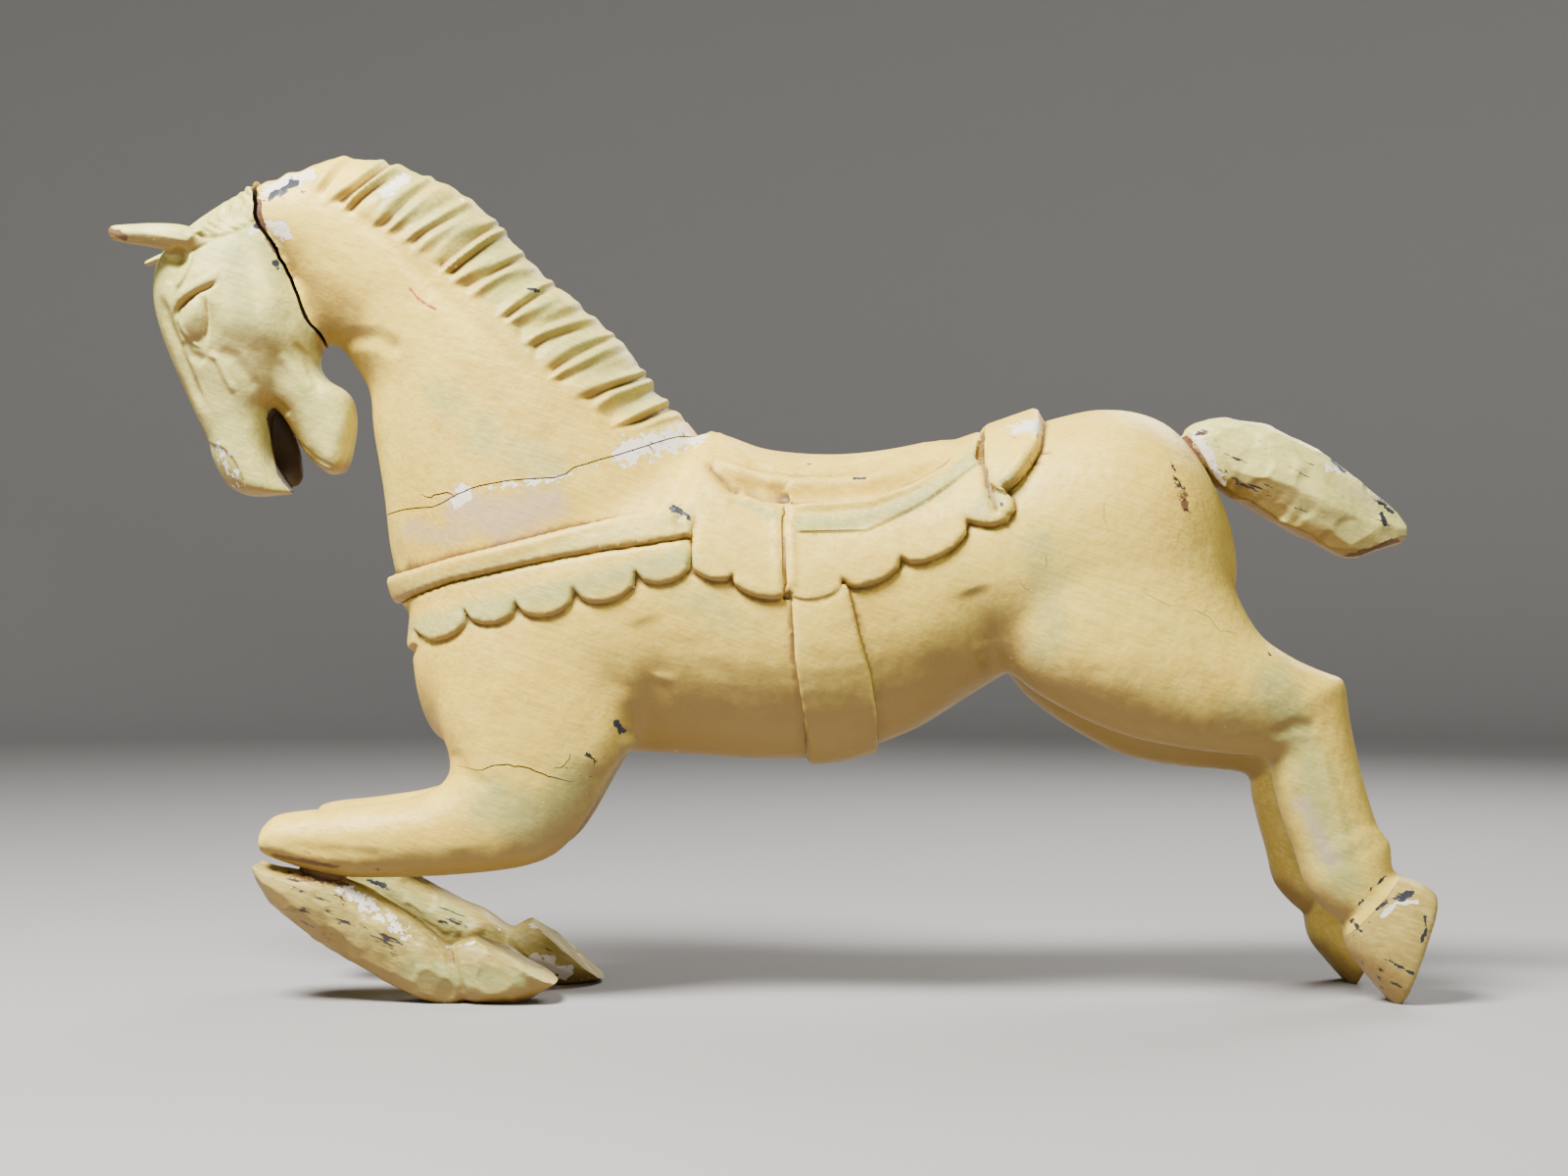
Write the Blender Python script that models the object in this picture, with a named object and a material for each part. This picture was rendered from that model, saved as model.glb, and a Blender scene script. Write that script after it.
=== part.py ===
"""A carved carousel horse at a gallop, glued up from blocks of wood, standing on its bent forelegs and hind toes.

Every outline is set out on a squared pattern, the way a carver sizes a figure: LENGTH is driven, one SQUARE is a share
of it, and the stations below are in squares. x runs from head (-) to tail (+), z is up from the floor, and the near
side, the horse's left, is at -y. The origin is under the middle of the horse, on the floor.
"""

import math

import bmesh
import bpy
import numpy as np

# Driving dimensions, in metres
LENGTH = 1.22
JOINT_GAP = 0.0004
COLLAR_THICKNESS = 0.010
STRAP_THICKNESS = 0.006
CLOTH_THICKNESS = 0.008
SEAT_THICKNESS = 0.009
BAND_THICKNESS = 0.003
GIRTH_THICKNESS = 0.007
MANE_THICKNESS = 0.011
LOCK_PITCH = 0.021
LOCK_DEPTH = 0.007
HEAD_CRACK_WIDTH = 0.0025
NECK_CRACK_WIDTH = 0.0012

# The pattern
SQUARES_LONG = 132.82
SQUARE = LENGTH / SQUARES_LONG

# Sections: 2 is an ellipse, more is squarer
ROUND = 2.0
SOFT = 2.2
FULL = 2.4
SQUARISH = 2.6

# Mesh fineness
VOXEL = 0.0032
SMALL_VOXEL = 0.003
BLEND_ROUNDS = 70
BLEND_WEIGHT = 0.6
BLEND_CORE = 0.6
SMALL_ROUNDS = 3
TINY = 0.000002
SHARP_ANGLE = math.radians(40)
RING_POINTS = 40
STEPS_PER_STATION = 5
TRUNK_TRIANGLES = 4900
NECK_TRIANGLES = 1700
HEAD_TRIANGLES = 1600
SHIN_TRIANGLES = 480
TAIL_TRIANGLES = 300

# Paint: red, green, blue, roughness
CREAM = (0.66, 0.57, 0.33, 0.5)
SAGE = (0.62, 0.58, 0.38, 0.5)
PALE = (0.60, 0.53, 0.33, 0.5)

# Stations, in squares: one edge of the outline (x, z), the opposite edge (x, z), half width, side offset
TORSO = [
    (-37.6, 37.0, -36.8, 29.0, 6.0, 0),
    (-36.0, 42.0, -35.3, 25.8, 8.8, 0),
    (-32.0, 46.0, -32.0, 24.6, 10.8, 0),
    (-26.0, 50.0, -26.0, 24.4, 12.2, 0),
    (-18.0, 53.5, -18.0, 24.4, 13.2, 0),
    (-9.0, 55.4, -10.0, 24.2, 13.6, 0),
    (-2.0, 53.4, -2.0, 23.7, 13.8, 0),
    (6.0, 52.9, 6.0, 24.2, 13.9, 0),
    (14.0, 54.0, 13.5, 26.8, 13.6, 0),
    (21.0, 56.2, 19.5, 30.5, 13.4, 0),
    (27.0, 58.2, 26.0, 34.0, 13.9, 0),
    (33.0, 59.3, 33.0, 34.0, 14.2, 0),
    (38.5, 57.9, 39.0, 34.5, 13.2, 0),
    (42.2, 53.9, 43.5, 37.0, 10.5, 0),
    (44.6, 49.1, 45.9, 41.1, 6.5, 0),
]
NECK = [
    (-6.5, 53.0, -39.0, 39.0, 11.6, 0),
    (-8.8, 57.0, -40.1, 45.0, 11.2, 0),
    (-11.6, 60.2, -40.8, 51.0, 10.3, 0),
    (-15.5, 65.2, -41.8, 57.0, 9.3, 0),
    (-20.7, 70.0, -42.2, 61.0, 8.5, 0),
    (-25.4, 74.0, -43.8, 63.8, 7.8, 0),
    (-29.7, 79.0, -45.5, 65.8, 7.2, 0),
    (-34.3, 82.2, -47.2, 66.5, 6.8, 0),
    (-40.0, 84.5, -48.8, 68.5, 6.4, 0),
    (-45.4, 85.0, -50.0, 71.0, 6.0, 0),
    (-50.0, 83.5, -51.5, 73.5, 5.6, 0),
    (-53.8, 82.0, -53.5, 75.0, 5.2, 0),
]
SKULL = [
    (-53.6, 82.0, -50.0, 75.0, 4.6, 0),
    (-57.0, 80.3, -48.8, 71.0, 5.5, 0),
    (-60.6, 77.8, -47.4, 67.5, 6.5, 0),
    (-63.5, 74.8, -46.9, 65.8, 6.8, 0),
    (-64.2, 71.2, -47.3, 64.8, 6.7, 0),
    (-63.5, 67.5, -47.8, 63.8, 6.1, 0),
    (-62.0, 63.5, -49.0, 61.8, 5.4, 0),
    (-60.0, 59.0, -52.0, 59.4, 4.7, 0),
    (-58.6, 56.2, -52.5, 56.5, 4.5, 0),
    (-58.0, 54.0, -52.0, 54.0, 4.5, 0),
    (-56.5, 51.5, -50.4, 51.3, 4.3, 0),
    (-54.5, 50.4, -49.7, 50.7, 3.4, 0),
]
LOWER_JAW = [
    (-54.5, 63.8, -47.8, 64.4, 5.0, 0),
    (-52.8, 60.6, -46.6, 62.4, 4.6, 0),
    (-51.0, 58.5, -44.8, 61.3, 4.3, 0),
    (-49.7, 56.4, -43.9, 60.1, 4.2, 0),
    (-48.5, 54.5, -43.6, 57.8, 4.1, 0),
    (-46.7, 52.9, -44.2, 54.4, 3.7, 0),
    (-46.0, 52.6, -44.8, 53.0, 3.0, 0),
]
NEAR_EAR = [
    (-57.0, 77.4, -57.6, 74.0, 1.7, -4.0),
    (-60.0, 77.8, -60.4, 74.8, 1.9, -4.6),
    (-63.5, 77.9, -63.6, 75.2, 1.7, -5.0),
    (-66.4, 77.8, -66.2, 76.0, 1.2, -5.1),
    (-68.0, 77.5, -67.8, 76.5, 0.7, -5.1),
]
FAR_EAR = [
    (-56.6, 77.4, -57.0, 73.6, 1.7, 4.0),
    (-59.6, 77.4, -59.6, 74.4, 1.9, 4.6),
    (-62.6, 77.0, -62.2, 74.2, 1.7, 5.0),
    (-65.2, 76.0, -64.8, 74.2, 1.2, 5.2),
    (-66.8, 75.3, -66.5, 74.4, 0.7, 5.2),
]
NEAR_HIND = [
    (27.5, 53.5, 38.0, 54.5, 4.4, -5.0),
    (25.0, 48.0, 41.0, 50.6, 5.8, -6.2),
    (22.4, 42.0, 43.4, 45.6, 6.7, -6.9),
    (20.7, 37.1, 45.0, 41.0, 7.0, -7.2),
    (22.9, 32.2, 47.3, 36.6, 6.9, -7.5),
    (27.8, 28.9, 50.2, 34.4, 6.3, -7.6),
    (33.6, 26.4, 52.6, 33.2, 5.6, -7.7),
    (39.5, 25.2, 54.4, 32.5, 4.9, -7.7),
    (44.3, 24.6, 55.7, 31.8, 4.2, -7.7),
    (48.0, 24.2, 56.2, 28.3, 3.8, -7.7),
    (48.7, 21.5, 57.1, 23.9, 3.6, -7.7),
    (49.5, 18.4, 58.1, 20.3, 3.4, -7.7),
    (50.8, 14.9, 59.1, 17.3, 3.3, -7.7),
    (51.9, 11.5, 60.2, 15.9, 3.5, -7.7),
    (53.8, 9.1, 60.4, 13.7, 3.4, -7.7),
    (55.7, 7.8, 60.5, 12.5, 3.2, -7.7),
    (57.0, 6.4, 61.6, 11.3, 3.0, -7.7),
]
FAR_HIND = [
    (27.5, 53.5, 38.0, 54.5, 4.4, 5.0),
    (25.0, 47.6, 41.0, 50.6, 5.8, 6.2),
    (22.8, 41.0, 43.4, 45.4, 6.7, 6.9),
    (21.5, 36.0, 45.0, 40.5, 7.0, 7.2),
    (24.5, 30.4, 47.0, 35.8, 6.9, 7.5),
    (29.5, 26.6, 49.6, 32.8, 6.3, 7.6),
    (35.0, 23.8, 52.0, 31.2, 5.6, 7.7),
    (40.5, 22.6, 53.8, 30.2, 4.9, 7.7),
    (45.0, 22.2, 55.0, 29.2, 4.2, 7.7),
    (48.4, 21.6, 55.6, 26.0, 3.8, 7.7),
    (48.9, 19.4, 56.2, 22.2, 3.6, 7.7),
    (49.5, 16.8, 57.0, 19.0, 3.4, 7.7),
    (50.4, 13.6, 57.8, 16.2, 3.3, 7.7),
    (51.2, 10.4, 58.6, 14.8, 3.5, 7.7),
    (53.0, 8.2, 58.8, 12.8, 3.4, 7.7),
    (54.6, 6.9, 58.9, 11.6, 3.2, 7.7),
    (55.9, 5.5, 60.0, 10.4, 3.0, 7.7),
]
NEAR_FOREARM = [
    (-31.5, 43.0, -16.5, 43.0, 4.6, -5.0),
    (-34.0, 38.0, -14.8, 38.0, 5.9, -6.2),
    (-35.1, 32.2, -14.6, 32.2, 6.5, -6.6),
    (-34.3, 26.9, -14.8, 26.4, 6.2, -7.0),
    (-33.1, 23.3, -17.3, 22.0, 5.8, -7.2),
    (-33.9, 21.7, -19.7, 17.8, 5.4, -7.3),
    (-35.9, 20.7, -22.2, 14.9, 5.1, -7.4),
    (-38.5, 20.0, -25.8, 13.4, 4.8, -7.5),
    (-41.4, 19.6, -32.2, 13.0, 4.5, -7.5),
    (-44.8, 19.2, -39.0, 13.0, 4.2, -7.5),
    (-48.2, 18.9, -44.3, 13.3, 3.9, -7.5),
    (-50.7, 18.4, -48.7, 13.8, 3.6, -7.5),
    (-52.0, 17.1, -51.9, 14.7, 3.1, -7.5),
]
FAR_KNEE_SHIFT = 3.0

# Bare wood that fills the open knee joint: how far behind the third shin station, how high, and its radii
STUB_BACK = 1.0
STUB_HEIGHT = 13.2
STUB_RADII = (2.4, 1.9, 2.2)
NEAR_SHIN = [
    (-52.4, 14.0, -52.7, 13.2, 2.6, -7.5),
    (-50.2, 13.4, -52.2, 11.5, 3.2, -7.5),
    (-46.8, 12.8, -50.7, 9.3, 3.5, -7.5),
    (-43.4, 12.1, -48.2, 7.1, 3.5, -7.5),
    (-40.4, 10.8, -44.3, 4.6, 3.3, -7.5),
    (-36.5, 8.2, -39.8, 1.9, 3.2, -7.5),
    (-34.9, 6.9, -36.3, 0.1, 3.4, -7.5),
    (-33.3, 5.6, -33.6, -0.5, 3.3, -7.5),
    (-31.0, 5.2, -31.0, 0.2, 3.1, -7.5),
]
NEAR_FORE_HOOF = [
    (-32.9, 5.8, -31.9, 0.2, 3.3, -7.5),
    (-31.4, 6.4, -28.6, -0.5, 4.1, -7.5),
    (-30.6, 6.4, -25.3, 0.2, 4.4, -7.5),
    (-30.2, 6.2, -22.3, 1.8, 4.5, -7.5),
]
FAR_SHIN = [
    (-49.0, 14.0, -49.4, 13.2, 2.6, 7.5),
    (-46.8, 13.4, -48.8, 11.4, 3.2, 7.5),
    (-43.6, 12.9, -47.2, 9.4, 3.5, 7.5),
    (-40.4, 12.3, -44.8, 7.2, 3.5, 7.5),
    (-37.6, 10.9, -41.0, 5.0, 3.3, 7.5),
    (-33.6, 8.6, -36.4, 2.8, 3.2, 7.5),
    (-31.2, 7.6, -32.8, 1.4, 3.4, 7.5),
    (-29.0, 6.0, -30.2, 0.9, 3.2, 7.5),
    (-27.0, 5.4, -27.6, 0.8, 3.0, 7.5),
]
FAR_FORE_HOOF = [
    (-28.6, 5.4, -29.0, 0.6, 3.3, 7.5),
    (-27.2, 6.3, -25.4, -0.4, 4.0, 7.5),
    (-26.4, 6.6, -22.0, -0.5, 4.3, 7.5),
    (-25.8, 6.5, -18.7, 0.3, 4.4, 7.5),
]
NEAR_HIND_HOOF = [
    (55.5, 7.4, 60.6, 12.8, 3.5, -7.7),
    (56.2, 4.9, 63.2, 11.9, 4.2, -7.7),
    (58.3, 2.2, 64.5, 11.0, 4.6, -7.7),
    (60.9, -0.8, 64.9, 10.6, 4.5, -7.7),
]
FAR_HIND_HOOF = [
    (54.4, 6.6, 59.0, 11.8, 3.5, 7.7),
    (55.0, 4.3, 61.6, 11.0, 4.2, 7.7),
    (56.9, 1.9, 62.8, 10.2, 4.6, 7.7),
    (59.3, -0.8, 63.2, 9.9, 4.5, 7.7),
]
TAIL = [
    (38.6, 56.0, 41.2, 52.6, 1.8, 0),
    (40.6, 56.6, 43.2, 52.4, 2.0, 0),
    (41.0, 57.3, 43.9, 51.7, 3.1, 0),
    (42.2, 58.0, 45.2, 50.4, 3.6, 0),
    (44.8, 58.5, 47.2, 49.3, 4.0, 0),
    (49.0, 57.9, 50.5, 47.3, 4.3, 0),
    (54.0, 55.5, 54.0, 45.5, 4.2, 0),
    (59.0, 51.8, 56.8, 44.1, 3.8, 0),
    (62.0, 49.2, 59.5, 44.4, 3.2, 0),
    (63.3, 47.5, 63.0, 45.7, 2.4, 0),
]

# Hollows to round where the legs and the neck grow out of the trunk: middle (x, z) and reach, in squares
BLENDS = [(-24.0, 29.0, 17.0), (31.0, 40.0, 19.0), (20.0, 31.0, 8.0), (-14.0, 58.0, 9.0), (-47.0, 68.0, 5.0)]

# Carving outlines, drawn as seen square from the side at EYE_DISTANCE, so what bulges nearer is drawn larger
EYE_DISTANCE = 310
EYE_HEIGHT = 41.1
MANE_EDGE = [
    (-60.0, 77.0), (-55.5, 80.0), (-52.0, 81.6), (-48.5, 81.3), (-46.2, 80.1), (-41.0, 77.3), (-36.6, 74.5),
    (-32.7, 71.0), (-28.8, 68.4), (-25.9, 64.8), (-23.2, 61.5), (-19.6, 59.3), (-17.5, 57.1), (-11.0, 57.6),
]
MANE_BEYOND = [(-5, 60), (0, 100), (-70, 100), (-62, 77)]
MANE_PIVOT = (-109.8, 11.3)
MANE_REACH = 100
LOCK_END_BULGE = 0.8
LOCK_SHARPNESS = 1.5
FORELOCK_START, FORELOCK_END, FORELOCK_SHARE = 44.0, 50.0, 0.4
HEAD_CRACK = [
    (-50.5, 86.5), (-53.3, 82.4), (-53.4, 81.2), (-53.0, 79.7), (-53.0, 78.2), (-51.6, 75.9), (-50.3, 73.6),
    (-49.3, 71.5), (-48.2, 68.4), (-46.9, 66.8), (-46.4, 65.0), (-45.2, 62.8), (-43.5, 60.9), (-42.8, 59.0),
    (-42.8, 57.0), (-44.0, 54.0),
]
NECK_CRACK = [
    (-3.0, 59.9), (-8.0, 56.8), (-11.5, 56.1), (-14.9, 54.8), (-19.5, 53.4), (-22.6, 52.0), (-25.6, 51.8),
    (-30.1, 51.1), (-32.3, 50.4), (-34.8, 49.2), (-38.0, 48.9), (-46.0, 47.2),
]
WHOLE_SPAN = (-20, 20)
NEAR_LEG_SPAN = (-14, -1)
HOOF_JOINT = [(54.0, 4.4), (56.3, 7.4), (60.4, 11.9), (64.0, 15.4)]
COLLAR_TOP = [(-43.0, 41.8), (-40.4, 42.2), (-33.8, 44.2), (-21.9, 47.2), (-11.9, 49.1), (-8.8, 49.9)]
COLLAR_BOTTOM = [(-9.4, 46.1), (-15.4, 45.2), (-19.4, 44.6), (-26.8, 43.2), (-33.6, 41.7), (-39.8, 39.5),
                 (-43.0, 38.9)]
COLLAR_CUSPS = [(-43.0, 34.9), (-37.2, 36.6), (-32.4, 38.7), (-27.3, 39.5), (-21.4, 40.9), (-15.1, 42.7),
                (-9.4, 44.4)]
COLLAR_SAG = 0.33
BLANKET_FRONT = [(-9.0, 60.0), (-11.7, 49.3), (-9.4, 47.8)]
BLANKET_CUSPS = [(-9.4, 43.5), (-5.3, 42.3), (0.5, 40.7), (6.0, 41.8), (11.9, 44.1), (18.7, 47.6), (23.6, 51.7),
                 (25.5, 56.6), (25.0, 60.5)]
BLANKET_SAG = 0.23
SEAT_OUTLINE = [
    (-8.0, 60.0), (-8.7, 54.5), (-6.8, 52.4), (-3.8, 50.9), (-0.4, 49.6), (5.4, 49.6), (11.5, 50.9), (18.9, 53.3),
    (19.4, 60.0),
]
SEAT_BAND = [
    (-0.1, 50.5), (0.4, 47.6), (1.4, 46.3), (8.5, 46.4), (14.6, 49.3), (20.0, 53.0), (20.8, 60.0), (12.0, 60.0),
]
FLAP_LINE = [(-0.1, 49.0), (0.7, 40.4)]
GIRTH = [(0.7, 41.5), (1.1, 34.0), (2.1, 27.9), (3.1, 15.0), (9.6, 15.0), (9.4, 28.5), (8.8, 32.5), (7.7, 36.2),
         (6.5, 41.5)]
CARVED_EDGE = 0.28
FLAP_LINE_INNER, FLAP_LINE_OUTER = 0.1, 0.6
RELIEF_CORE = 0.35

# Head carving, in squares as drawn: middle (x, z), radii, and how far it stands out (+) or goes in (-)
HEAD_RELIEF = [
    (-60.6, 69.2, 2.9, 2.6, -0.45),
    (-60.4, 69.0, 1.7, 1.5, 0.65),
    (-60.0, 71.8, 3.0, 1.1, 0.40),
    (-60.9, 66.3, 2.2, 1.0, 0.20),
    (-57.4, 53.6, 1.5, 1.7, -0.50),
    (-54.0, 66.5, 5.6, 5.6, 0.30),
]


def clear_scene():
    for obj in list(bpy.data.objects):
        bpy.data.objects.remove(obj)


def spline(points, steps):
    """A smooth curve through every point."""
    p = np.array(points, float)
    padded = np.vstack([2 * p[0] - p[1], p, 2 * p[-1] - p[-2]])
    rows = []
    for i in range(len(p) - 1):
        a, b, c, d = padded[i : i + 4]
        for t in np.arange(steps) / steps:
            rows.append(
                0.5 * (2 * b + (c - a) * t + (2 * a - 5 * b + 4 * c - d) * t**2 + (3 * b - a - 3 * c + d) * t**3)
            )
    rows.append(p[-1])
    return np.array(rows)


def loft(stations, roundness=SOFT):
    """A closed tube through the stations. A higher roundness makes its section squarer."""
    rows = spline(stations, STEPS_PER_STATION)
    angle = np.arange(RING_POINTS) * 2 * math.pi / RING_POINTS
    cosine = np.sign(np.cos(angle)) * np.abs(np.cos(angle)) ** (2 / roundness)
    sine = np.sign(np.sin(angle)) * np.abs(np.sin(angle)) ** (2 / roundness)
    bm = bmesh.new()
    rings = []
    for first_x, first_z, second_x, second_z, half_width, side in rows:
        middle_x, middle_z = (first_x + second_x) / 2, (first_z + second_z) / 2
        reach_x, reach_z = (first_x - second_x) / 2, (first_z - second_z) / 2
        ring = []
        for c, s in zip(cosine, sine):
            place = (middle_x + reach_x * c, side + half_width * s, middle_z + reach_z * c)
            ring.append(bm.verts.new([value * SQUARE for value in place]))
        rings.append(ring)
    for low, high in zip(rings, rings[1:]):
        for i in range(RING_POINTS):
            j = (i + 1) % RING_POINTS
            bm.faces.new((low[i], low[j], high[j], high[i]))
    bm.faces.new(reversed(rings[0]))
    bm.faces.new(rings[-1])
    bmesh.ops.recalc_face_normals(bm, faces=bm.faces)
    mesh = bpy.data.meshes.new("loft")
    bm.to_mesh(mesh)
    bm.free()
    return mesh


def joined(meshes):
    bm = bmesh.new()
    for mesh in meshes:
        bm.from_mesh(mesh)
        bpy.data.meshes.remove(mesh)
    whole = bpy.data.meshes.new("joined")
    bm.to_mesh(whole)
    bm.free()
    return whole


def with_modifier(mesh, kind, **settings):
    """The mesh after one modifier."""
    obj = bpy.data.objects.new("work", mesh)
    bpy.context.scene.collection.objects.link(obj)
    modifier = obj.modifiers.new("work", kind)
    for name, value in settings.items():
        setattr(modifier, name, value)
    graph = bpy.context.evaluated_depsgraph_get()
    result = bpy.data.meshes.new_from_object(obj.evaluated_get(graph))
    bpy.data.objects.remove(obj)
    bpy.data.meshes.remove(mesh)
    return result


def points_of(mesh):
    co = np.empty(len(mesh.vertices) * 3, np.float32)
    mesh.vertices.foreach_get("co", co)
    return co.reshape(-1, 3).astype(float)


def set_points(mesh, co):
    mesh.vertices.foreach_set("co", co.astype(np.float32).ravel())
    mesh.update()


def normals_of(mesh):
    normals = np.empty(len(mesh.vertices) * 3, np.float32)
    mesh.vertex_normals.foreach_get("vector", normals)
    return normals.reshape(-1, 3).astype(float)


def relax(mesh, rounds, weight=0.5):
    """Moves each point towards the mean of its neighbours. weight may be one number or one for each point."""
    co = points_of(mesh)
    ends = np.empty(len(mesh.edges) * 2, np.int32)
    mesh.edges.foreach_get("vertices", ends)
    a, b = ends.reshape(-1, 2).T
    count = np.bincount(np.concatenate([a, b]), minlength=len(co))
    amount = np.broadcast_to(np.asarray(weight, float), (len(co),))[:, None]
    for _ in range(rounds):
        total = np.stack(
            [np.bincount(a, co[b, k], len(co)) + np.bincount(b, co[a, k], len(co)) for k in range(3)], axis=1
        )
        co += (total / count[:, None] - co) * amount
    set_points(mesh, co)


def smooth_step(value, low, high):
    t = np.clip((value - low) / (high - low), 0, 1)
    return t * t * (3 - 2 * t)


def distance_to_path(x, z, path):
    """The distance of each point to a run of straight segments."""
    best = np.full(len(x), np.inf)
    for (ax, az), (bx, bz) in zip(path, path[1:]):
        dx, dz = bx - ax, bz - az
        length = math.hypot(dx, dz)
        t = np.clip(((x - ax) * dx + (z - az) * dz) / length**2, 0, 1)
        best = np.minimum(best, np.hypot(x - ax - t * dx, z - az - t * dz))
    return best


def inside(x, z, polygon):
    found = np.zeros(len(x), bool)
    for (ax, az), (bx, bz) in zip(polygon, polygon[1:] + polygon[:1]):
        if az == bz:
            continue
        crosses = (az > z) != (bz > z)
        found ^= crosses & (x < (bx - ax) * (z - az) / (bz - az) + ax)
    return found


def signed_depth(x, z, polygon):
    """How deep inside the outline each point lies, negative outside."""
    distance = distance_to_path(x, z, polygon + polygon[:1])
    return np.where(inside(x, z, polygon), distance, -distance)


def scallops(cusps, sag, steps=8):
    """Round lobes hung between neighbouring cusps, bulging to the right of the direction of travel."""
    points = []
    for (ax, az), (bx, bz) in zip(cusps, cusps[1:]):
        dx, dz = bx - ax, bz - az
        length = math.hypot(dx, dz)
        for i in range(steps):
            t = i / steps
            bulge = sag * math.sqrt(max(0.0, 4 * t * (1 - t))) * length
            points.append((ax + dx * t + dz / length * bulge, az + dz * t - dx / length * bulge))
    points.append(cusps[-1])
    return points


def as_drawn(co):
    """Where each point shows on the side drawing."""
    spread = EYE_DISTANCE / (EYE_DISTANCE - np.abs(co[:, 1]) / SQUARE)
    return co[:, 0] / SQUARE * spread, EYE_HEIGHT + (co[:, 2] / SQUARE - EYE_HEIGHT) * spread


def mane_field(x, z):
    """How far the mane is raised sideways, and how far it is cut in between its locks."""
    distance = distance_to_path(x, z, MANE_EDGE)
    above = np.where(inside(x, z, MANE_EDGE + MANE_BEYOND), distance, -distance)
    fan = np.arctan2(z - MANE_PIVOT[1], x - MANE_PIVOT[0])
    phase = fan * MANE_REACH * SQUARE / LOCK_PITCH
    groove = 1 - np.abs(np.sin(math.pi * phase))
    start = LOCK_END_BULGE * groove
    mask = smooth_step(above, start - CARVED_EDGE, start + CARVED_EDGE)
    return MANE_THICKNESS * mask, LOCK_DEPTH * mask * groove**LOCK_SHARPNESS


def raised_field(x, z, outline):
    """1 inside an outline and 0 outside, over a short carved slope."""
    return smooth_step(signed_depth(x, z, outline), -CARVED_EDGE, CARVED_EDGE)


def carve_tack(mesh):
    """Raises the collar, blanket, seat and girth on the smooth horse."""
    co = points_of(mesh)
    x, z = as_drawn(co)
    blanket = raised_field(x, z, BLANKET_FRONT + scallops(BLANKET_CUSPS, BLANKET_SAG))
    seat = raised_field(x, z, SEAT_OUTLINE)
    seat_band = np.maximum(raised_field(x, z, SEAT_BAND) - seat, 0)
    girth = raised_field(x, z, GIRTH)
    collar = raised_field(x, z, COLLAR_TOP + COLLAR_BOTTOM)
    fringe = raised_field(x, z, COLLAR_BOTTOM + scallops(COLLAR_CUSPS, COLLAR_SAG))
    flap_line = 1 - smooth_step(distance_to_path(x, z, FLAP_LINE), FLAP_LINE_INNER, FLAP_LINE_OUTER)

    saddle = CLOTH_THICKNESS * blanket + SEAT_THICKNESS * seat + BAND_THICKNESS * (seat_band - flap_line)
    straps = np.maximum(COLLAR_THICKNESS * collar, STRAP_THICKNESS * fringe) + GIRTH_THICKNESS * girth
    raised = saddle + (1 - blanket) * straps
    set_points(mesh, co + normals_of(mesh) * raised[:, None])


def carve_mane(mesh):
    """Raises the mane and cuts its locks, thinner over the poll than along the neck."""
    co = points_of(mesh)
    normals = normals_of(mesh)
    thick, cut = mane_field(*as_drawn(co))
    fullness = 1 - (1 - FORELOCK_SHARE) * smooth_step(-co[:, 0] / SQUARE, FORELOCK_START, FORELOCK_END)
    set_points(mesh, co + normals * (fullness * (thick * np.abs(normals[:, 1]) - cut))[:, None])


def carve_head(mesh):
    """Models the eyes, brows, nostrils and cheeks."""
    co = points_of(mesh)
    x, z = as_drawn(co)
    normals = normals_of(mesh)
    height = np.zeros(len(co))
    for middle_x, middle_z, radius_x, radius_z, out in HEAD_RELIEF:
        reach = np.hypot((x - middle_x) / radius_x, (z - middle_z) / radius_z)
        height += out * SQUARE * (1 - smooth_step(reach, RELIEF_CORE, 1.0))
    height *= np.abs(normals[:, 1])
    set_points(mesh, co + normals * height[:, None])


def slab(path, thickness, span):
    """A thin upright wall along a path, as thick as a crack is wide."""
    low_y, high_y = span
    p = np.array(path, float)
    run = np.gradient(p, axis=0)
    across = np.stack([-run[:, 1], run[:, 0]], axis=1) / np.linalg.norm(run, axis=1)[:, None]
    half = across * thickness / SQUARE / 2
    outline = np.vstack([p + half, (p - half)[::-1]])
    bm = bmesh.new()
    near = [bm.verts.new((x * SQUARE, low_y * SQUARE, z * SQUARE)) for x, z in outline]
    far = [bm.verts.new((x * SQUARE, high_y * SQUARE, z * SQUARE)) for x, z in outline]
    count, last = len(outline), len(p) - 1
    for i in range(last):
        j = count - 1 - i
        bm.faces.new((near[i], near[i + 1], near[j - 1], near[j]))
        bm.faces.new((far[i], far[j], far[j - 1], far[i + 1]))
    for i in range(count):
        j = (i + 1) % count
        bm.faces.new((near[i], near[j], far[j], far[i]))
    bmesh.ops.recalc_face_normals(bm, faces=bm.faces)
    mesh = bpy.data.meshes.new("slab")
    bm.to_mesh(mesh)
    bm.free()
    return mesh


def blob(middle, radii):
    """An egg-shaped lump, in squares."""
    bm = bmesh.new()
    bmesh.ops.create_icosphere(bm, subdivisions=3, radius=1.0)
    for vert in bm.verts:
        vert.co = [(m + r * c) * SQUARE for m, r, c in zip(middle, radii, vert.co)]
    mesh = bpy.data.meshes.new("blob")
    bm.to_mesh(mesh)
    bm.free()
    return mesh


def cut_by(mesh, cutter):
    """The mesh less the cutter, which is used up."""
    tool = bpy.data.objects.new("cutter", cutter)
    bpy.context.scene.collection.objects.link(tool)
    result = with_modifier(mesh, "BOOLEAN", operation="DIFFERENCE", solver="EXACT", object=tool)
    bpy.data.objects.remove(tool)
    bpy.data.meshes.remove(cutter)
    return result


def is_flap(face):
    """True for a stray face that hangs from a closed surface by one edge."""
    counts = [len(edge.link_faces) for edge in face.edges]
    return min(counts) == 1 and max(counts) > 2


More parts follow.
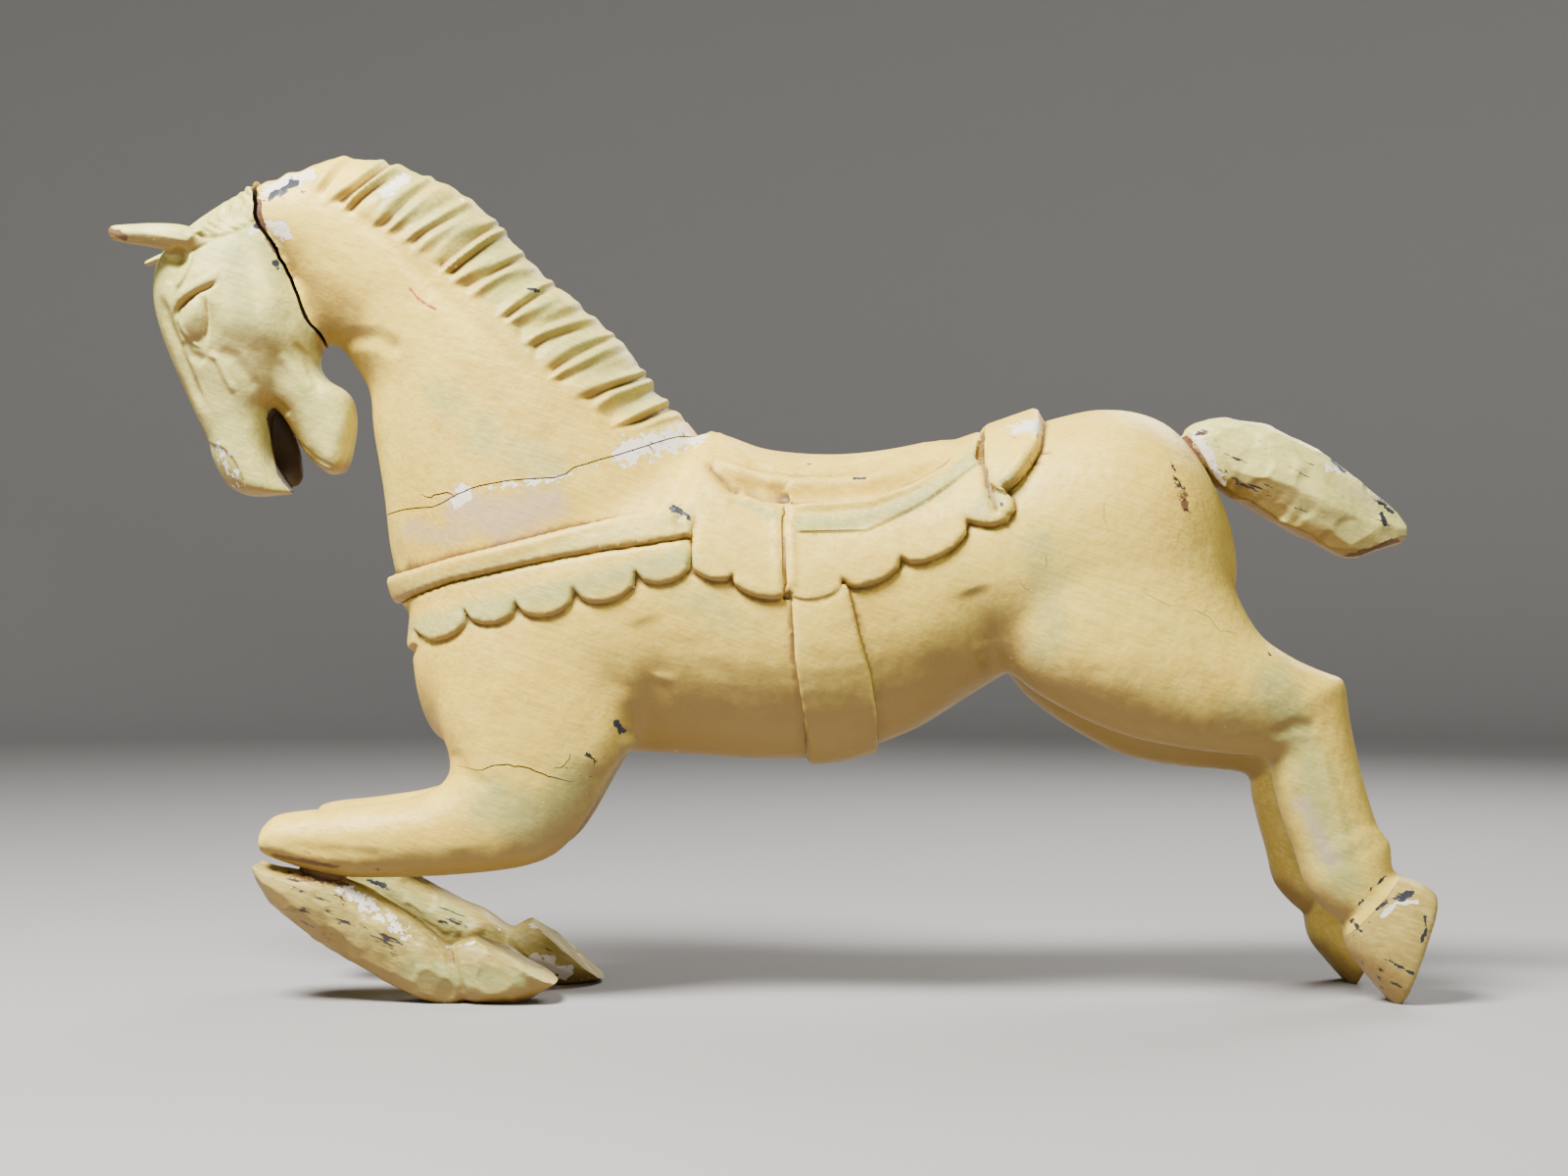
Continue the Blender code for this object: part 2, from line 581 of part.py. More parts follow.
def tidied(mesh):
    """Triangles only, with slivers, doubled points and stray flaps taken out."""
    bm = bmesh.new()
    bm.from_mesh(mesh)
    bmesh.ops.remove_doubles(bm, verts=bm.verts, dist=TINY)
    bmesh.ops.dissolve_degenerate(bm, edges=bm.edges, dist=TINY)
    bmesh.ops.triangulate(bm, faces=bm.faces)
    bmesh.ops.delete(bm, geom=[face for face in bm.faces if is_flap(face)], context="FACES")
    bm.to_mesh(mesh)
    bm.free()
    return mesh


def loose_parts(mesh):
    """One mesh for each body in the mesh, from the largest to the smallest."""
    bm = bmesh.new()
    bm.from_mesh(mesh)
    bm.verts.ensure_lookup_table()
    seen, groups = set(), []
    for vert in bm.verts:
        if vert.index in seen:
            continue
        seen.add(vert.index)
        group, waiting = [], [vert]
        while waiting:
            here = waiting.pop()
            group.append(here.index)
            for edge in here.link_edges:
                other = edge.other_vert(here)
                if other.index not in seen:
                    seen.add(other.index)
                    waiting.append(other)
        groups.append(set(group))
    parts = []
    for group in sorted(groups, key=len, reverse=True):
        part = bm.copy()
        bmesh.ops.delete(part, geom=[v for v in part.verts if v.index not in group], context="VERTS")
        found = bpy.data.meshes.new("part")
        part.to_mesh(found)
        part.free()
        parts.append(found)
    bm.free()
    bpy.data.meshes.remove(mesh)
    return parts


def inflated(mesh, amount):
    """A copy whose surface stands proud by the amount."""
    copy = mesh.copy()
    set_points(copy, points_of(copy) + normals_of(copy) * amount)
    return copy


def flattened(mesh):
    """Cuts off what lies below the floor and closes the cut with a flat face."""
    bm = bmesh.new()
    bm.from_mesh(mesh)
    cut = bmesh.ops.bisect_plane(
        bm, geom=bm.verts[:] + bm.edges[:] + bm.faces[:], plane_co=(0, 0, 0), plane_no=(0, 0, -1),
        clear_outer=True)
    rim = [item for item in cut["geom_cut"] if isinstance(item, bmesh.types.BMEdge)]
    if rim:
        bmesh.ops.contextual_create(bm, geom=rim)
        bmesh.ops.recalc_face_normals(bm, faces=bm.faces)
    bm.to_mesh(mesh)
    bm.free()
    return mesh


def remeshed(mesh, voxel, rounds):
    mesh = with_modifier(mesh, "REMESH", mode="VOXEL", voxel_size=voxel)
    relax(mesh, rounds)
    return mesh


def thinned(mesh, triangles):
    mesh = with_modifier(mesh, "TRIANGULATE")
    ratio = min(1.0, triangles / len(mesh.polygons))
    return with_modifier(mesh, "DECIMATE", decimate_type="COLLAPSE", ratio=ratio)


def far_forearm():
    """The near forearm mirrored, with its knee drawn further back."""
    last = len(NEAR_FOREARM) - 1
    stations = []
    for i, (ax, az, bx, bz, half, side) in enumerate(NEAR_FOREARM):
        shift = FAR_KNEE_SHIFT * (i / last) ** 3
        stations.append((ax + shift, az, bx + shift, bz, half, -side))
    return stations


def blend_joints(mesh):
    """Rounds the hollows where the legs grow out of the trunk."""
    co = points_of(mesh) / SQUARE
    weight = np.zeros(len(co))
    for x, z, radius in BLENDS:
        reach = np.hypot(co[:, 0] - x, co[:, 2] - z) / radius
        weight = np.maximum(weight, BLEND_WEIGHT * (1 - smooth_step(reach, BLEND_CORE, 1.0)))
    relax(mesh, BLEND_ROUNDS, weight)


def whole_horse():
    """Body, neck, head and upper legs in one, before the joints are cut."""
    parts = [
        loft(TORSO), loft(NECK, ROUND), loft(SKULL, FULL), loft(LOWER_JAW, FULL), loft(NEAR_EAR), loft(FAR_EAR),
        loft(NEAR_HIND), loft(FAR_HIND), loft(NEAR_FOREARM), loft(far_forearm()),
        loft(NEAR_HIND_HOOF, SQUARISH), loft(FAR_HIND_HOOF, SQUARISH),
    ]
    mesh = remeshed(joined(parts), VOXEL, SMALL_ROUNDS)
    blend_joints(mesh)
    carve_tack(mesh)
    carve_mane(mesh)
    carve_head(mesh)
    return mesh


def lower_leg(shin, hoof, body):
    """Cannon, pastern and hoof, with the bare wood that meets the knee."""
    stub = blob((shin[2][0] + STUB_BACK, shin[2][5], STUB_HEIGHT), STUB_RADII)
    mesh = remeshed(joined([loft(shin), loft(hoof, SQUARISH), stub]), SMALL_VOXEL, SMALL_ROUNDS)
    return cut_by(thinned(mesh, SHIN_TRIANGLES), inflated(body, JOINT_GAP))


def tail_block(body):
    mesh = remeshed(loft(TAIL, SQUARISH), SMALL_VOXEL, SMALL_ROUNDS)
    return cut_by(thinned(mesh, TAIL_TRIANGLES), inflated(body, JOINT_GAP))


def painted(name, red, green, blue, roughness):
    material = bpy.data.materials.new(name)
    material.use_nodes = True
    shader = material.node_tree.nodes["Principled BSDF"]
    shader.inputs["Base Color"].default_value = (red, green, blue, 1)
    shader.inputs["Roughness"].default_value = roughness
    shader.inputs["Metallic"].default_value = 0
    material.diffuse_color = (red, green, blue, 1)
    return material


def add_piece(name, mesh, colour):
    mesh = tidied(flattened(mesh))
    mesh.name = name
    mesh.materials.clear()
    mesh.materials.append(painted(name + "_paint", *colour))
    mesh.shade_smooth()
    mesh.set_sharp_from_angle(angle=SHARP_ANGLE)
    obj = bpy.data.objects.new(name, mesh)
    bpy.context.scene.collection.objects.link(obj)
    return obj


def centred(pieces):
    """Puts the middle of the whole horse over the origin."""
    corners = np.vstack([points_of(piece.data) for piece in pieces])
    low, high = corners.min(axis=0), corners.max(axis=0)
    shift = (low + high) / 2
    shift[2] = low[2]
    for piece in pieces:
        set_points(piece.data, points_of(piece.data) - shift)


def build():
    clear_scene()
    horse = whole_horse()
    for path, thickness in ((HEAD_CRACK, HEAD_CRACK_WIDTH), (NECK_CRACK, NECK_CRACK_WIDTH)):
        horse = cut_by(horse, slab(path, thickness, WHOLE_SPAN))
    trunk, neck, head = loose_parts(horse)
    neck, head = thinned(neck, NECK_TRIANGLES), thinned(head, HEAD_TRIANGLES)
    trunk = cut_by(thinned(trunk, TRUNK_TRIANGLES), slab(HOOF_JOINT, JOINT_GAP, NEAR_LEG_SPAN))
    body, hoof = loose_parts(trunk)
    pieces = [
        add_piece("near_fore_lower_leg", lower_leg(NEAR_SHIN, NEAR_FORE_HOOF, body), PALE),
        add_piece("far_fore_lower_leg", lower_leg(FAR_SHIN, FAR_FORE_HOOF, body), PALE),
        add_piece("tail", tail_block(body), PALE),
        add_piece("body", body, CREAM),
        add_piece("neck", neck, CREAM),
        add_piece("head", head, SAGE),
        add_piece("near_hind_hoof", hoof, PALE),
    ]
    centred(pieces)


build()
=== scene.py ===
"""The looks of a carved carousel horse: fine carving, cracks, bare wood and aged paint on the solid model.

Every outline is set out on the same squared pattern as the solids. x runs from head (-) to tail (+), z is up
from the floor, and the near side, the horse's left, is at -y. Carving outlines are drawn as seen square from
the side.
"""

import math

import bmesh
import bpy
import numpy as np
from bpy.props import FloatProperty, FloatVectorProperty, PointerProperty
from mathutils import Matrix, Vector
from mathutils.bvhtree import BVHTree
from mathutils.kdtree import KDTree


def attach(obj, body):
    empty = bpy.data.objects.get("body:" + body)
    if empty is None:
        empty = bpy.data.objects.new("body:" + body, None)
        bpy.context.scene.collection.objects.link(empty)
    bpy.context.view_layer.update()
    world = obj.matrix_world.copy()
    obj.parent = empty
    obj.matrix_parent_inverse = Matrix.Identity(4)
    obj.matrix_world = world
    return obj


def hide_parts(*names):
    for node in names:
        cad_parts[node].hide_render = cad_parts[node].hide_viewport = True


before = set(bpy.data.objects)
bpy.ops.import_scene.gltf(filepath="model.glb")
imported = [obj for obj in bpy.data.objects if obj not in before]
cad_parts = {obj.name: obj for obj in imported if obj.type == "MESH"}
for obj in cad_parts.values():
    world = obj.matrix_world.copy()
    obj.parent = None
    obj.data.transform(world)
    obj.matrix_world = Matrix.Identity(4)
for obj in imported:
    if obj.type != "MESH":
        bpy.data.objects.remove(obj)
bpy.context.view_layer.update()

bl_info = {
    "name": "Carousel horse",
    "version": (1, 0, 0),
    "blender": (4, 5, 0),
    "location": "3D View > Sidebar > Horse",
    "description": "Carves and paints an old carousel horse around its solid model",
    "category": "Add Mesh",
}

# The squared pattern: one square, and where the pattern's zero lies from the middle of the horse
PATTERN_LENGTH = 1.22
SQUARES_LONG = 132.82
SQUARE = PATTERN_LENGTH / SQUARES_LONG
PATTERN_ZERO = 0.01426

# Sections: 2 is an ellipse, more is squarer
ROUND = 2.0
SOFT = 2.2
FULL = 2.4
SQUARISH = 2.6

# Mesh fineness, in metres
ROUGH_VOXEL = 0.0032
BODY_VOXEL = 0.0023
NECK_VOXEL = 0.0019
HEAD_VOXEL = 0.0014
LEG_VOXEL = 0.0015
TAIL_VOXEL = 0.0016
BLEND_ROUNDS = 70
BLEND_WEIGHT = 0.6
BLEND_CORE = 0.6
SMOOTH_ROUNDS = 3
RING_POINTS = 40
STEPS_PER_STATION = 5
STEPS_PER_SCALLOP = 12
BLOB_FINENESS = 4
MOST_TRIANGLES = 190000
SHARP_ANGLE = math.radians(50)

# Stations, in squares: one edge of the outline (x, z), the opposite edge (x, z), half width, side offset
TORSO = [
    (-37.6, 37.0, -36.8, 29.0, 6.0, 0),
    (-36.0, 42.0, -35.3, 25.8, 8.8, 0),
    (-32.0, 46.0, -32.0, 24.6, 10.8, 0),
    (-26.0, 50.0, -26.0, 24.4, 12.2, 0),
    (-18.0, 53.5, -18.0, 24.4, 13.2, 0),
    (-9.0, 55.4, -10.0, 24.2, 13.6, 0),
    (-2.0, 53.4, -2.0, 23.7, 13.8, 0),
    (6.0, 52.9, 6.0, 24.2, 13.9, 0),
    (14.0, 54.0, 13.5, 26.8, 13.6, 0),
    (21.0, 56.2, 19.5, 30.5, 13.4, 0),
    (27.0, 58.2, 26.0, 34.0, 13.9, 0),
    (33.0, 59.3, 33.0, 34.0, 14.2, 0),
    (38.5, 57.9, 39.0, 34.5, 13.2, 0),
    (42.2, 53.9, 43.5, 37.0, 10.5, 0),
    (44.6, 49.1, 45.9, 41.1, 6.5, 0),
]
NECK = [
    (-6.5, 53.0, -39.0, 39.0, 11.6, 0),
    (-8.8, 57.0, -40.1, 45.0, 11.2, 0),
    (-11.6, 60.2, -40.8, 51.0, 10.3, 0),
    (-15.5, 65.2, -41.8, 57.0, 9.3, 0),
    (-20.7, 70.0, -42.2, 61.0, 8.5, 0),
    (-25.4, 74.0, -43.8, 63.8, 7.8, 0),
    (-29.7, 79.0, -45.5, 65.8, 7.2, 0),
    (-34.3, 82.2, -47.2, 66.5, 6.8, 0),
    (-40.0, 84.5, -48.8, 68.5, 6.4, 0),
    (-45.4, 85.0, -50.0, 71.0, 6.0, 0),
    (-50.0, 83.5, -51.5, 73.5, 5.6, 0),
    (-53.8, 82.0, -53.5, 75.0, 5.2, 0),
]
SKULL = [
    (-53.6, 82.0, -50.0, 75.0, 4.6, 0),
    (-57.0, 80.3, -48.8, 71.0, 5.5, 0),
    (-60.6, 77.8, -47.4, 67.5, 6.5, 0),
    (-63.5, 74.8, -46.9, 65.8, 6.8, 0),
    (-64.2, 71.2, -47.3, 64.8, 6.7, 0),
    (-63.5, 67.5, -47.8, 63.8, 6.1, 0),
    (-62.0, 63.5, -49.0, 61.8, 5.4, 0),
    (-60.0, 59.0, -52.0, 59.4, 4.7, 0),
    (-58.6, 56.2, -52.5, 56.5, 4.5, 0),
    (-58.0, 54.0, -52.0, 54.0, 4.5, 0),
    (-56.5, 51.5, -50.4, 51.3, 4.3, 0),
    (-54.5, 50.4, -49.7, 50.7, 3.4, 0),
]
LOWER_JAW = [
    (-54.5, 63.8, -47.8, 64.4, 5.0, 0),
    (-52.8, 60.6, -46.6, 62.4, 4.6, 0),
    (-51.0, 58.5, -44.8, 61.3, 4.3, 0),
    (-49.7, 56.4, -43.9, 60.1, 4.2, 0),
    (-48.5, 54.5, -43.6, 57.8, 4.1, 0),
    (-46.7, 52.9, -44.2, 54.4, 3.7, 0),
    (-46.0, 52.6, -44.8, 53.0, 3.0, 0),
]
NEAR_EAR = [
    (-57.4, 76.2, -59.3, 74.1, 1.7, -3.6),
    (-58.6, 77, -60.4, 74.6, 2, -4.3),
    (-60.6, 77.6, -62, 75, 1.9, -4.8),
    (-63.4, 77.7, -64.1, 75.4, 1.5, -5.1),
    (-65.7, 77.6, -66.1, 75.7, 1.1, -5.1),
    (-67.2, 77.5, -67.3, 76, 0.8, -5.1),
    (-67.8, 77.2, -67.7, 76.4, 0.5, -5.1),
]
FAR_EAR = [
    (-60.2, 76.9, -61.1, 74.7, 1.6, 3.8),
    (-61.7, 76.6, -62.9, 74.8, 1.6, 4.4),
    (-64, 75.9, -64.6, 74.8, 1.2, 4.8),
    (-65.5, 75.3, -65.8, 74.5, 0.8, 5),
    (-66.3, 74.9, -66.3, 74.5, 0.5, 5),
]
FAR_LIP = [
    (-52.4, 60.1, -54.3, 60.3, 1.2, 2.6),
    (-50.8, 58, -54.3, 58.3, 1, 2.9),
    (-49.9, 55.9, -54.1, 56, 0.9, 3),
    (-49.6, 54.1, -53.7, 54.2, 0.9, 3),
    (-49.5, 52.5, -52.9, 52.4, 0.9, 2.8),
    (-49.9, 51.6, -52, 51.2, 0.8, 2.4),
]
NEAR_HIND = [
    (27.5, 53.5, 38.0, 54.5, 4.4, -5.0),
    (25.0, 48.0, 41.0, 50.6, 5.8, -6.2),
    (22.4, 42.0, 43.4, 45.6, 6.7, -6.9),
    (20.7, 37.1, 45.0, 41.0, 7.0, -7.2),
    (22.9, 32.2, 47.3, 36.6, 6.9, -7.5),
    (27.8, 28.9, 50.2, 34.4, 6.3, -7.6),
    (33.6, 26.4, 52.6, 33.2, 5.6, -7.7),
    (39.5, 25.2, 54.4, 32.5, 4.9, -7.7),
    (44.3, 24.6, 55.7, 31.8, 4.2, -7.7),
    (48.0, 24.2, 56.2, 28.3, 3.8, -7.7),
    (48.7, 21.5, 57.1, 23.9, 3.6, -7.7),
    (49.5, 18.4, 58.1, 20.3, 3.4, -7.7),
    (50.8, 14.9, 59.1, 17.3, 3.3, -7.7),
    (51.9, 11.5, 60.2, 15.9, 3.5, -7.7),
    (53.8, 9.1, 60.4, 13.7, 3.4, -7.7),
    (55.7, 7.8, 60.5, 12.5, 3.2, -7.7),
    (57.0, 6.4, 61.6, 11.3, 3.0, -7.7),
]
FAR_HIND = [
    (27.5, 53.5, 38.0, 54.5, 4.4, 5.0),
    (25.0, 47.6, 41.0, 50.6, 5.8, 6.2),
    (22.8, 41.0, 43.4, 45.4, 6.7, 6.9),
    (21.5, 36.0, 45.0, 40.5, 7.0, 7.2),
    (24.5, 30.4, 47.0, 35.8, 6.9, 7.5),
    (29.5, 26.6, 49.6, 32.8, 6.3, 7.6),
    (35.0, 23.8, 52.0, 31.2, 5.6, 7.7),
    (40.5, 22.6, 53.8, 30.2, 4.9, 7.7),
    (45.0, 22.2, 55.0, 29.2, 4.2, 7.7),
    (48.4, 21.6, 55.6, 26.0, 3.8, 7.7),
    (48.9, 19.4, 56.2, 22.2, 3.6, 7.7),
    (49.5, 16.8, 57.0, 19.0, 3.4, 7.7),
    (50.4, 13.6, 57.8, 16.2, 3.3, 7.7),
    (51.2, 10.4, 58.6, 14.8, 3.5, 7.7),
    (53.0, 8.2, 58.8, 12.8, 3.4, 7.7),
    (54.6, 6.9, 58.9, 11.6, 3.2, 7.7),
    (55.9, 5.5, 60.0, 10.4, 3.0, 7.7),
]
NEAR_FOREARM = [
    (-31.5, 43.0, -16.5, 43.0, 4.6, -5.0),
    (-34.0, 38.0, -14.8, 38.0, 5.9, -6.2),
    (-35.1, 32.2, -14.6, 32.2, 6.5, -6.6),
    (-34.3, 26.9, -14.8, 26.4, 6.2, -7.0),
    (-33.1, 23.3, -17.3, 22.0, 5.8, -7.2),
    (-33.9, 21.7, -19.7, 17.8, 5.4, -7.3),
    (-35.9, 20.7, -22.2, 14.9, 5.1, -7.4),
    (-38.5, 20.0, -25.8, 13.4, 4.8, -7.5),
    (-41.4, 19.6, -32.4, 12.6, 4.5, -7.5),
    (-44.8, 19.2, -39.6, 12.3, 4.2, -7.5),
    (-48.2, 18.9, -44.9, 12.5, 3.9, -7.5),
    (-50.7, 18.4, -48.9, 13.6, 3.6, -7.5),
    (-52.0, 17.1, -51.9, 14.7, 3.1, -7.5),
]
FAR_KNEE_SHIFT = 3.0

# Bare wood that fills the open knee joint: how far behind the third shin station, how high, and its radii
STUB_BACK = 1.0
STUB_HEIGHT = 13.2
STUB_RADII = (2.4, 1.9, 2.2)
NEAR_SHIN = [
    (-52.4, 14.0, -52.7, 13.2, 2.6, -7.5),
    (-50.2, 13.4, -52.2, 11.5, 3.2, -7.5),
    (-46.8, 12.8, -50.7, 9.3, 3.5, -7.5),
    (-43.4, 12.1, -48.2, 7.1, 3.5, -7.5),
    (-40.4, 10.8, -44.3, 4.6, 3.3, -7.5),
    (-36.5, 8.2, -39.8, 1.9, 3.2, -7.5),
    (-34.9, 6.9, -36.3, 0.1, 3.4, -7.5),
    (-33.3, 5.6, -33.6, -0.5, 3.3, -7.5),
    (-31.0, 5.2, -31.0, 0.2, 3.1, -7.5),
]
NEAR_FORE_HOOF = [
    (-32.9, 5.8, -31.9, 0.2, 3.3, -7.5),
    (-31.4, 6.4, -28.6, -0.5, 4.1, -7.5),
    (-30.6, 6.4, -25.3, 0.2, 4.4, -7.5),
    (-30.2, 6.2, -22.3, 1.8, 4.5, -7.5),
]
FAR_SHIN = [
    (-49.0, 14.0, -49.4, 13.2, 2.6, 7.5),
    (-46.8, 13.4, -48.8, 11.4, 3.2, 7.5),
    (-43.6, 12.9, -47.2, 9.4, 3.5, 7.5),
    (-40.4, 12.3, -44.8, 7.2, 3.5, 7.5),
    (-37.6, 10.9, -41.0, 5.0, 3.3, 7.5),
    (-33.6, 8.6, -36.4, 2.8, 3.2, 7.5),
    (-31.2, 7.6, -32.8, 1.4, 3.4, 7.5),
    (-29.0, 6.0, -30.2, 0.9, 3.2, 7.5),
    (-27.0, 5.4, -27.6, 0.8, 3.0, 7.5),
]
FAR_FORE_HOOF = [
    (-28.6, 5.4, -29.0, 0.6, 3.3, 7.5),
    (-27.2, 6.3, -25.4, -0.4, 4.0, 7.5),
    (-26.4, 6.6, -22.0, -0.5, 4.3, 7.5),
    (-25.8, 6.5, -18.7, 0.3, 4.4, 7.5),
]
NEAR_HIND_HOOF = [
    (55.5, 7.4, 60.6, 12.8, 3.5, -7.7),
    (56.2, 4.9, 63.2, 11.9, 4.2, -7.7),
    (58.3, 2.2, 64.5, 11.0, 4.6, -7.7),
    (60.9, -0.8, 64.9, 10.6, 4.5, -7.7),
]
FAR_HIND_HOOF = [
    (54.4, 6.6, 59.0, 11.8, 3.5, 7.7),
    (55.0, 4.3, 61.6, 11.0, 4.2, 7.7),
    (56.9, 1.9, 62.8, 10.2, 4.6, 7.7),
    (59.3, -0.8, 63.2, 9.9, 4.5, 7.7),
]
TAIL = [
    (38.6, 56.0, 41.2, 52.6, 1.8, 0),
    (40.6, 56.6, 43.2, 52.4, 2.0, 0),
    (41.0, 57.3, 43.9, 51.7, 3.1, 0),
    (42.2, 58.0, 45.2, 50.4, 3.6, 0),
    (44.8, 58.5, 47.2, 49.3, 4.0, 0),
    (49.0, 57.9, 50.5, 47.3, 4.3, 0),
    (54.0, 55.5, 54.0, 45.5, 4.2, 0),
    (59.0, 51.8, 56.8, 44.1, 3.8, 0),
    (62.0, 49.2, 59.5, 44.4, 3.2, 0),
    (63.3, 47.5, 63.0, 45.7, 2.4, 0),
]

# Hollows to round where the legs and the neck grow out of the trunk: middle (x, z) and reach, in squares
BLENDS = [(-24.0, 29.0, 17.0), (31.0, 40.0, 19.0), (20.0, 31.0, 8.0), (-14.0, 58.0, 9.0), (-47.0, 68.0, 5.0),
          (-31.0, 43.0, 8.0), (-22.0, 46.5, 9.0), (-13.0, 50.0, 9.0), (-37.0, 40.0, 6.0)]

# Carving outlines, drawn as seen square from the side at EYE_DISTANCE, so what bulges nearer is drawn larger
EYE_DISTANCE = 310
EYE_HEIGHT = 41.1
MANE_EDGE = [
    (-60.0, 77.0), (-55.5, 80.0), (-52.0, 81.6), (-48.5, 81.3), (-46.2, 80.1), (-41.0, 77.3), (-36.6, 74.5),
    (-32.7, 71.0), (-28.8, 68.4), (-25.9, 64.8), (-23.2, 61.5), (-19.6, 59.3), (-17.5, 57.1), (-11.0, 57.6),
]
MANE_BEYOND = [(-5, 60), (0, 100), (-70, 100), (-62, 77)]
MANE_PIVOT = (-109.8, 11.3)
MANE_REACH = 100
FORELOCK_START, FORELOCK_END, FORELOCK_SHARE = 46.0, 53.0, 0.35
HEAD_CRACK = [
    (-50.5, 86.5), (-53.3, 82.4), (-53.4, 81.2), (-53.0, 79.7), (-53.0, 78.2), (-51.6, 75.9), (-50.3, 73.6),
    (-49.3, 71.5), (-48.2, 68.4), (-46.9, 66.8), (-46.4, 65.0), (-45.2, 62.8), (-43.5, 60.9), (-42.8, 59.0),
    (-42.8, 57.0), (-44.0, 54.0),
]
NECK_CRACK = [
    (-3.0, 59.9), (-8.0, 56.8), (-11.5, 56.1), (-14.9, 54.8), (-19.5, 53.4), (-22.6, 52.0), (-25.6, 51.8),
    (-30.1, 51.1), (-32.3, 50.4), (-34.8, 49.2), (-38.0, 48.9), (-46.0, 47.2),
]
HEAD_BEYOND = [(-44.0, 40.0), (-90.0, 40.0), (-90.0, 100.0), (-50.5, 100.0)]
NECK_BEYOND = [(-90.0, 47.2), (-90.0, 100.0), (0.0, 100.0)]
HEAD_BLOCK = ((-75, -20, 42), (-38, 20, 95))
NECK_BLOCK = ((-60, -20, 42), (4, 20, 95))
WHOLE_SPAN = (-17, 17)
NEAR_LEG_SPAN = (-14, -1)
BELOW_HOOF = [(54.0, -4.0), (70.0, -4.0), (70.0, 15.4)]
HOOF_JOINT = [(54.0, 4.4), (56.3, 7.4), (60.4, 11.9), (64.0, 15.4)]
COLLAR_TOP = [(-43.0, 41.8), (-40.4, 42.2), (-33.8, 44.2), (-21.9, 47.2), (-11.9, 49.1), (-8.8, 49.9)]
COLLAR_BOTTOM = [(-9.4, 46.1), (-15.4, 45.2), (-19.4, 44.6), (-26.8, 43.2), (-33.6, 41.7), (-39.8, 39.5),
                 (-43.0, 38.9)]
COLLAR_CUSPS = [(-43.0, 34.9), (-37.2, 36.6), (-32.4, 38.7), (-27.3, 39.5), (-21.4, 40.9), (-15.1, 42.7),
                (-9.4, 44.4)]
COLLAR_SAG = 0.33
BLANKET_FRONT = [(-9.0, 60.0), (-11.7, 49.3), (-9.4, 47.8)]
BLANKET_CUSPS = [(-9.4, 43.5), (-5.3, 42.3), (0.5, 40.7), (6.0, 41.8), (11.9, 44.1), (18.7, 47.8)]
BLANKET_SAG = 0.23
BLANKET_REAR = [
    (20, 47.5), (21.4, 47.4), (22.8, 47.8), (23.5, 49.1), (23.4, 50.1), (22.6, 50.8), (24, 51.9),
    (25.2, 53.3), (26.2, 55), (26.5, 57.1), (26.3, 58.7), (25, 61.1),
]
REAR_BLOCK = [
    (21, 58.6), (23, 61.1), (26, 61.5), (27, 58.1), (26.6, 54.8), (24.3, 51.9), (22.7, 50.3), (21.2, 50.8),
    (20.7, 53.1), (20.8, 55.6),
]
MOUTH = [
    (-53.4, 60.9), (-51.6, 59.7), (-50.4, 58.1), (-49.3, 56.1), (-48.6, 54.1), (-48.6, 51.9), (-50, 50.6),
    (-51.7, 52.5), (-52.1, 54.9), (-52.6, 57.5),
]
MOUTH_NEAR = -1.6
FLAP_SLOT = [
    (-0.2, 49.3), (-0.3, 47.1), (-0.2, 43.6), (-0.1, 39.9), (0.5, 39.9), (0.2, 43.6), (0.1, 47.1),
    (0.1, 49.3),
]
SEAT_BAND = [
    (-0.1, 50.5), (0.4, 47.6), (1.4, 46.3), (8.5, 46.4), (14.6, 49.3), (20.0, 53.0), (20.8, 60.0),
    (12.0, 60.0),
]
GIRTH = [
    (0.7, 41.5), (1.1, 34.0), (2.1, 27.9), (3.1, 15.0), (9.6, 15.0), (9.4, 28.5), (8.8, 32.5), (7.7, 36.2),
    (6.5, 41.5),
]
# The side of the seat: its top corner, closed far above the horse, and how far below it the cloth is met
SEAT_RIDGE = [
    (-8.0, 62.0), (-8.4, 56.5), (-6.6, 54.3), (-4.4, 52.8), (-1.3, 51.8), (3.1, 51.5), (6.4, 51.8),
    (10.9, 52.8), (13.4, 53.6), (16.4, 54.9), (19.1, 57), (-78.07, 94.9),
]
SEAT_SIDE = 1.9
SEAT_SLOPE, SEAT_HOLLOW, SEAT_CURVE = 0.12, 0.88, 2.4
NOSTRIL = [
    (-61, 56.4), (-58.1, 55.8), (-57.1, 55.3), (-56.3, 54.5), (-55.7, 53.5), (-55.1, 52.1), (-55, 50.9),
    (-57.5, 49.1), (-61, 52.1),
]
POLL = [
    (-61.2, 77.1), (-59.4, 78.3), (-57, 80.7), (-53.4, 83.1), (-51, 84.1), (-51.6, 81.5), (-53.4, 78.9),
    (-55.6, 77.5), (-57.6, 76.9), (-59.4, 76.8), (-60.8, 76.4),
]
POLL_START, POLL_END = [(-59.5, 77.8), (-53.2, 82.1)]

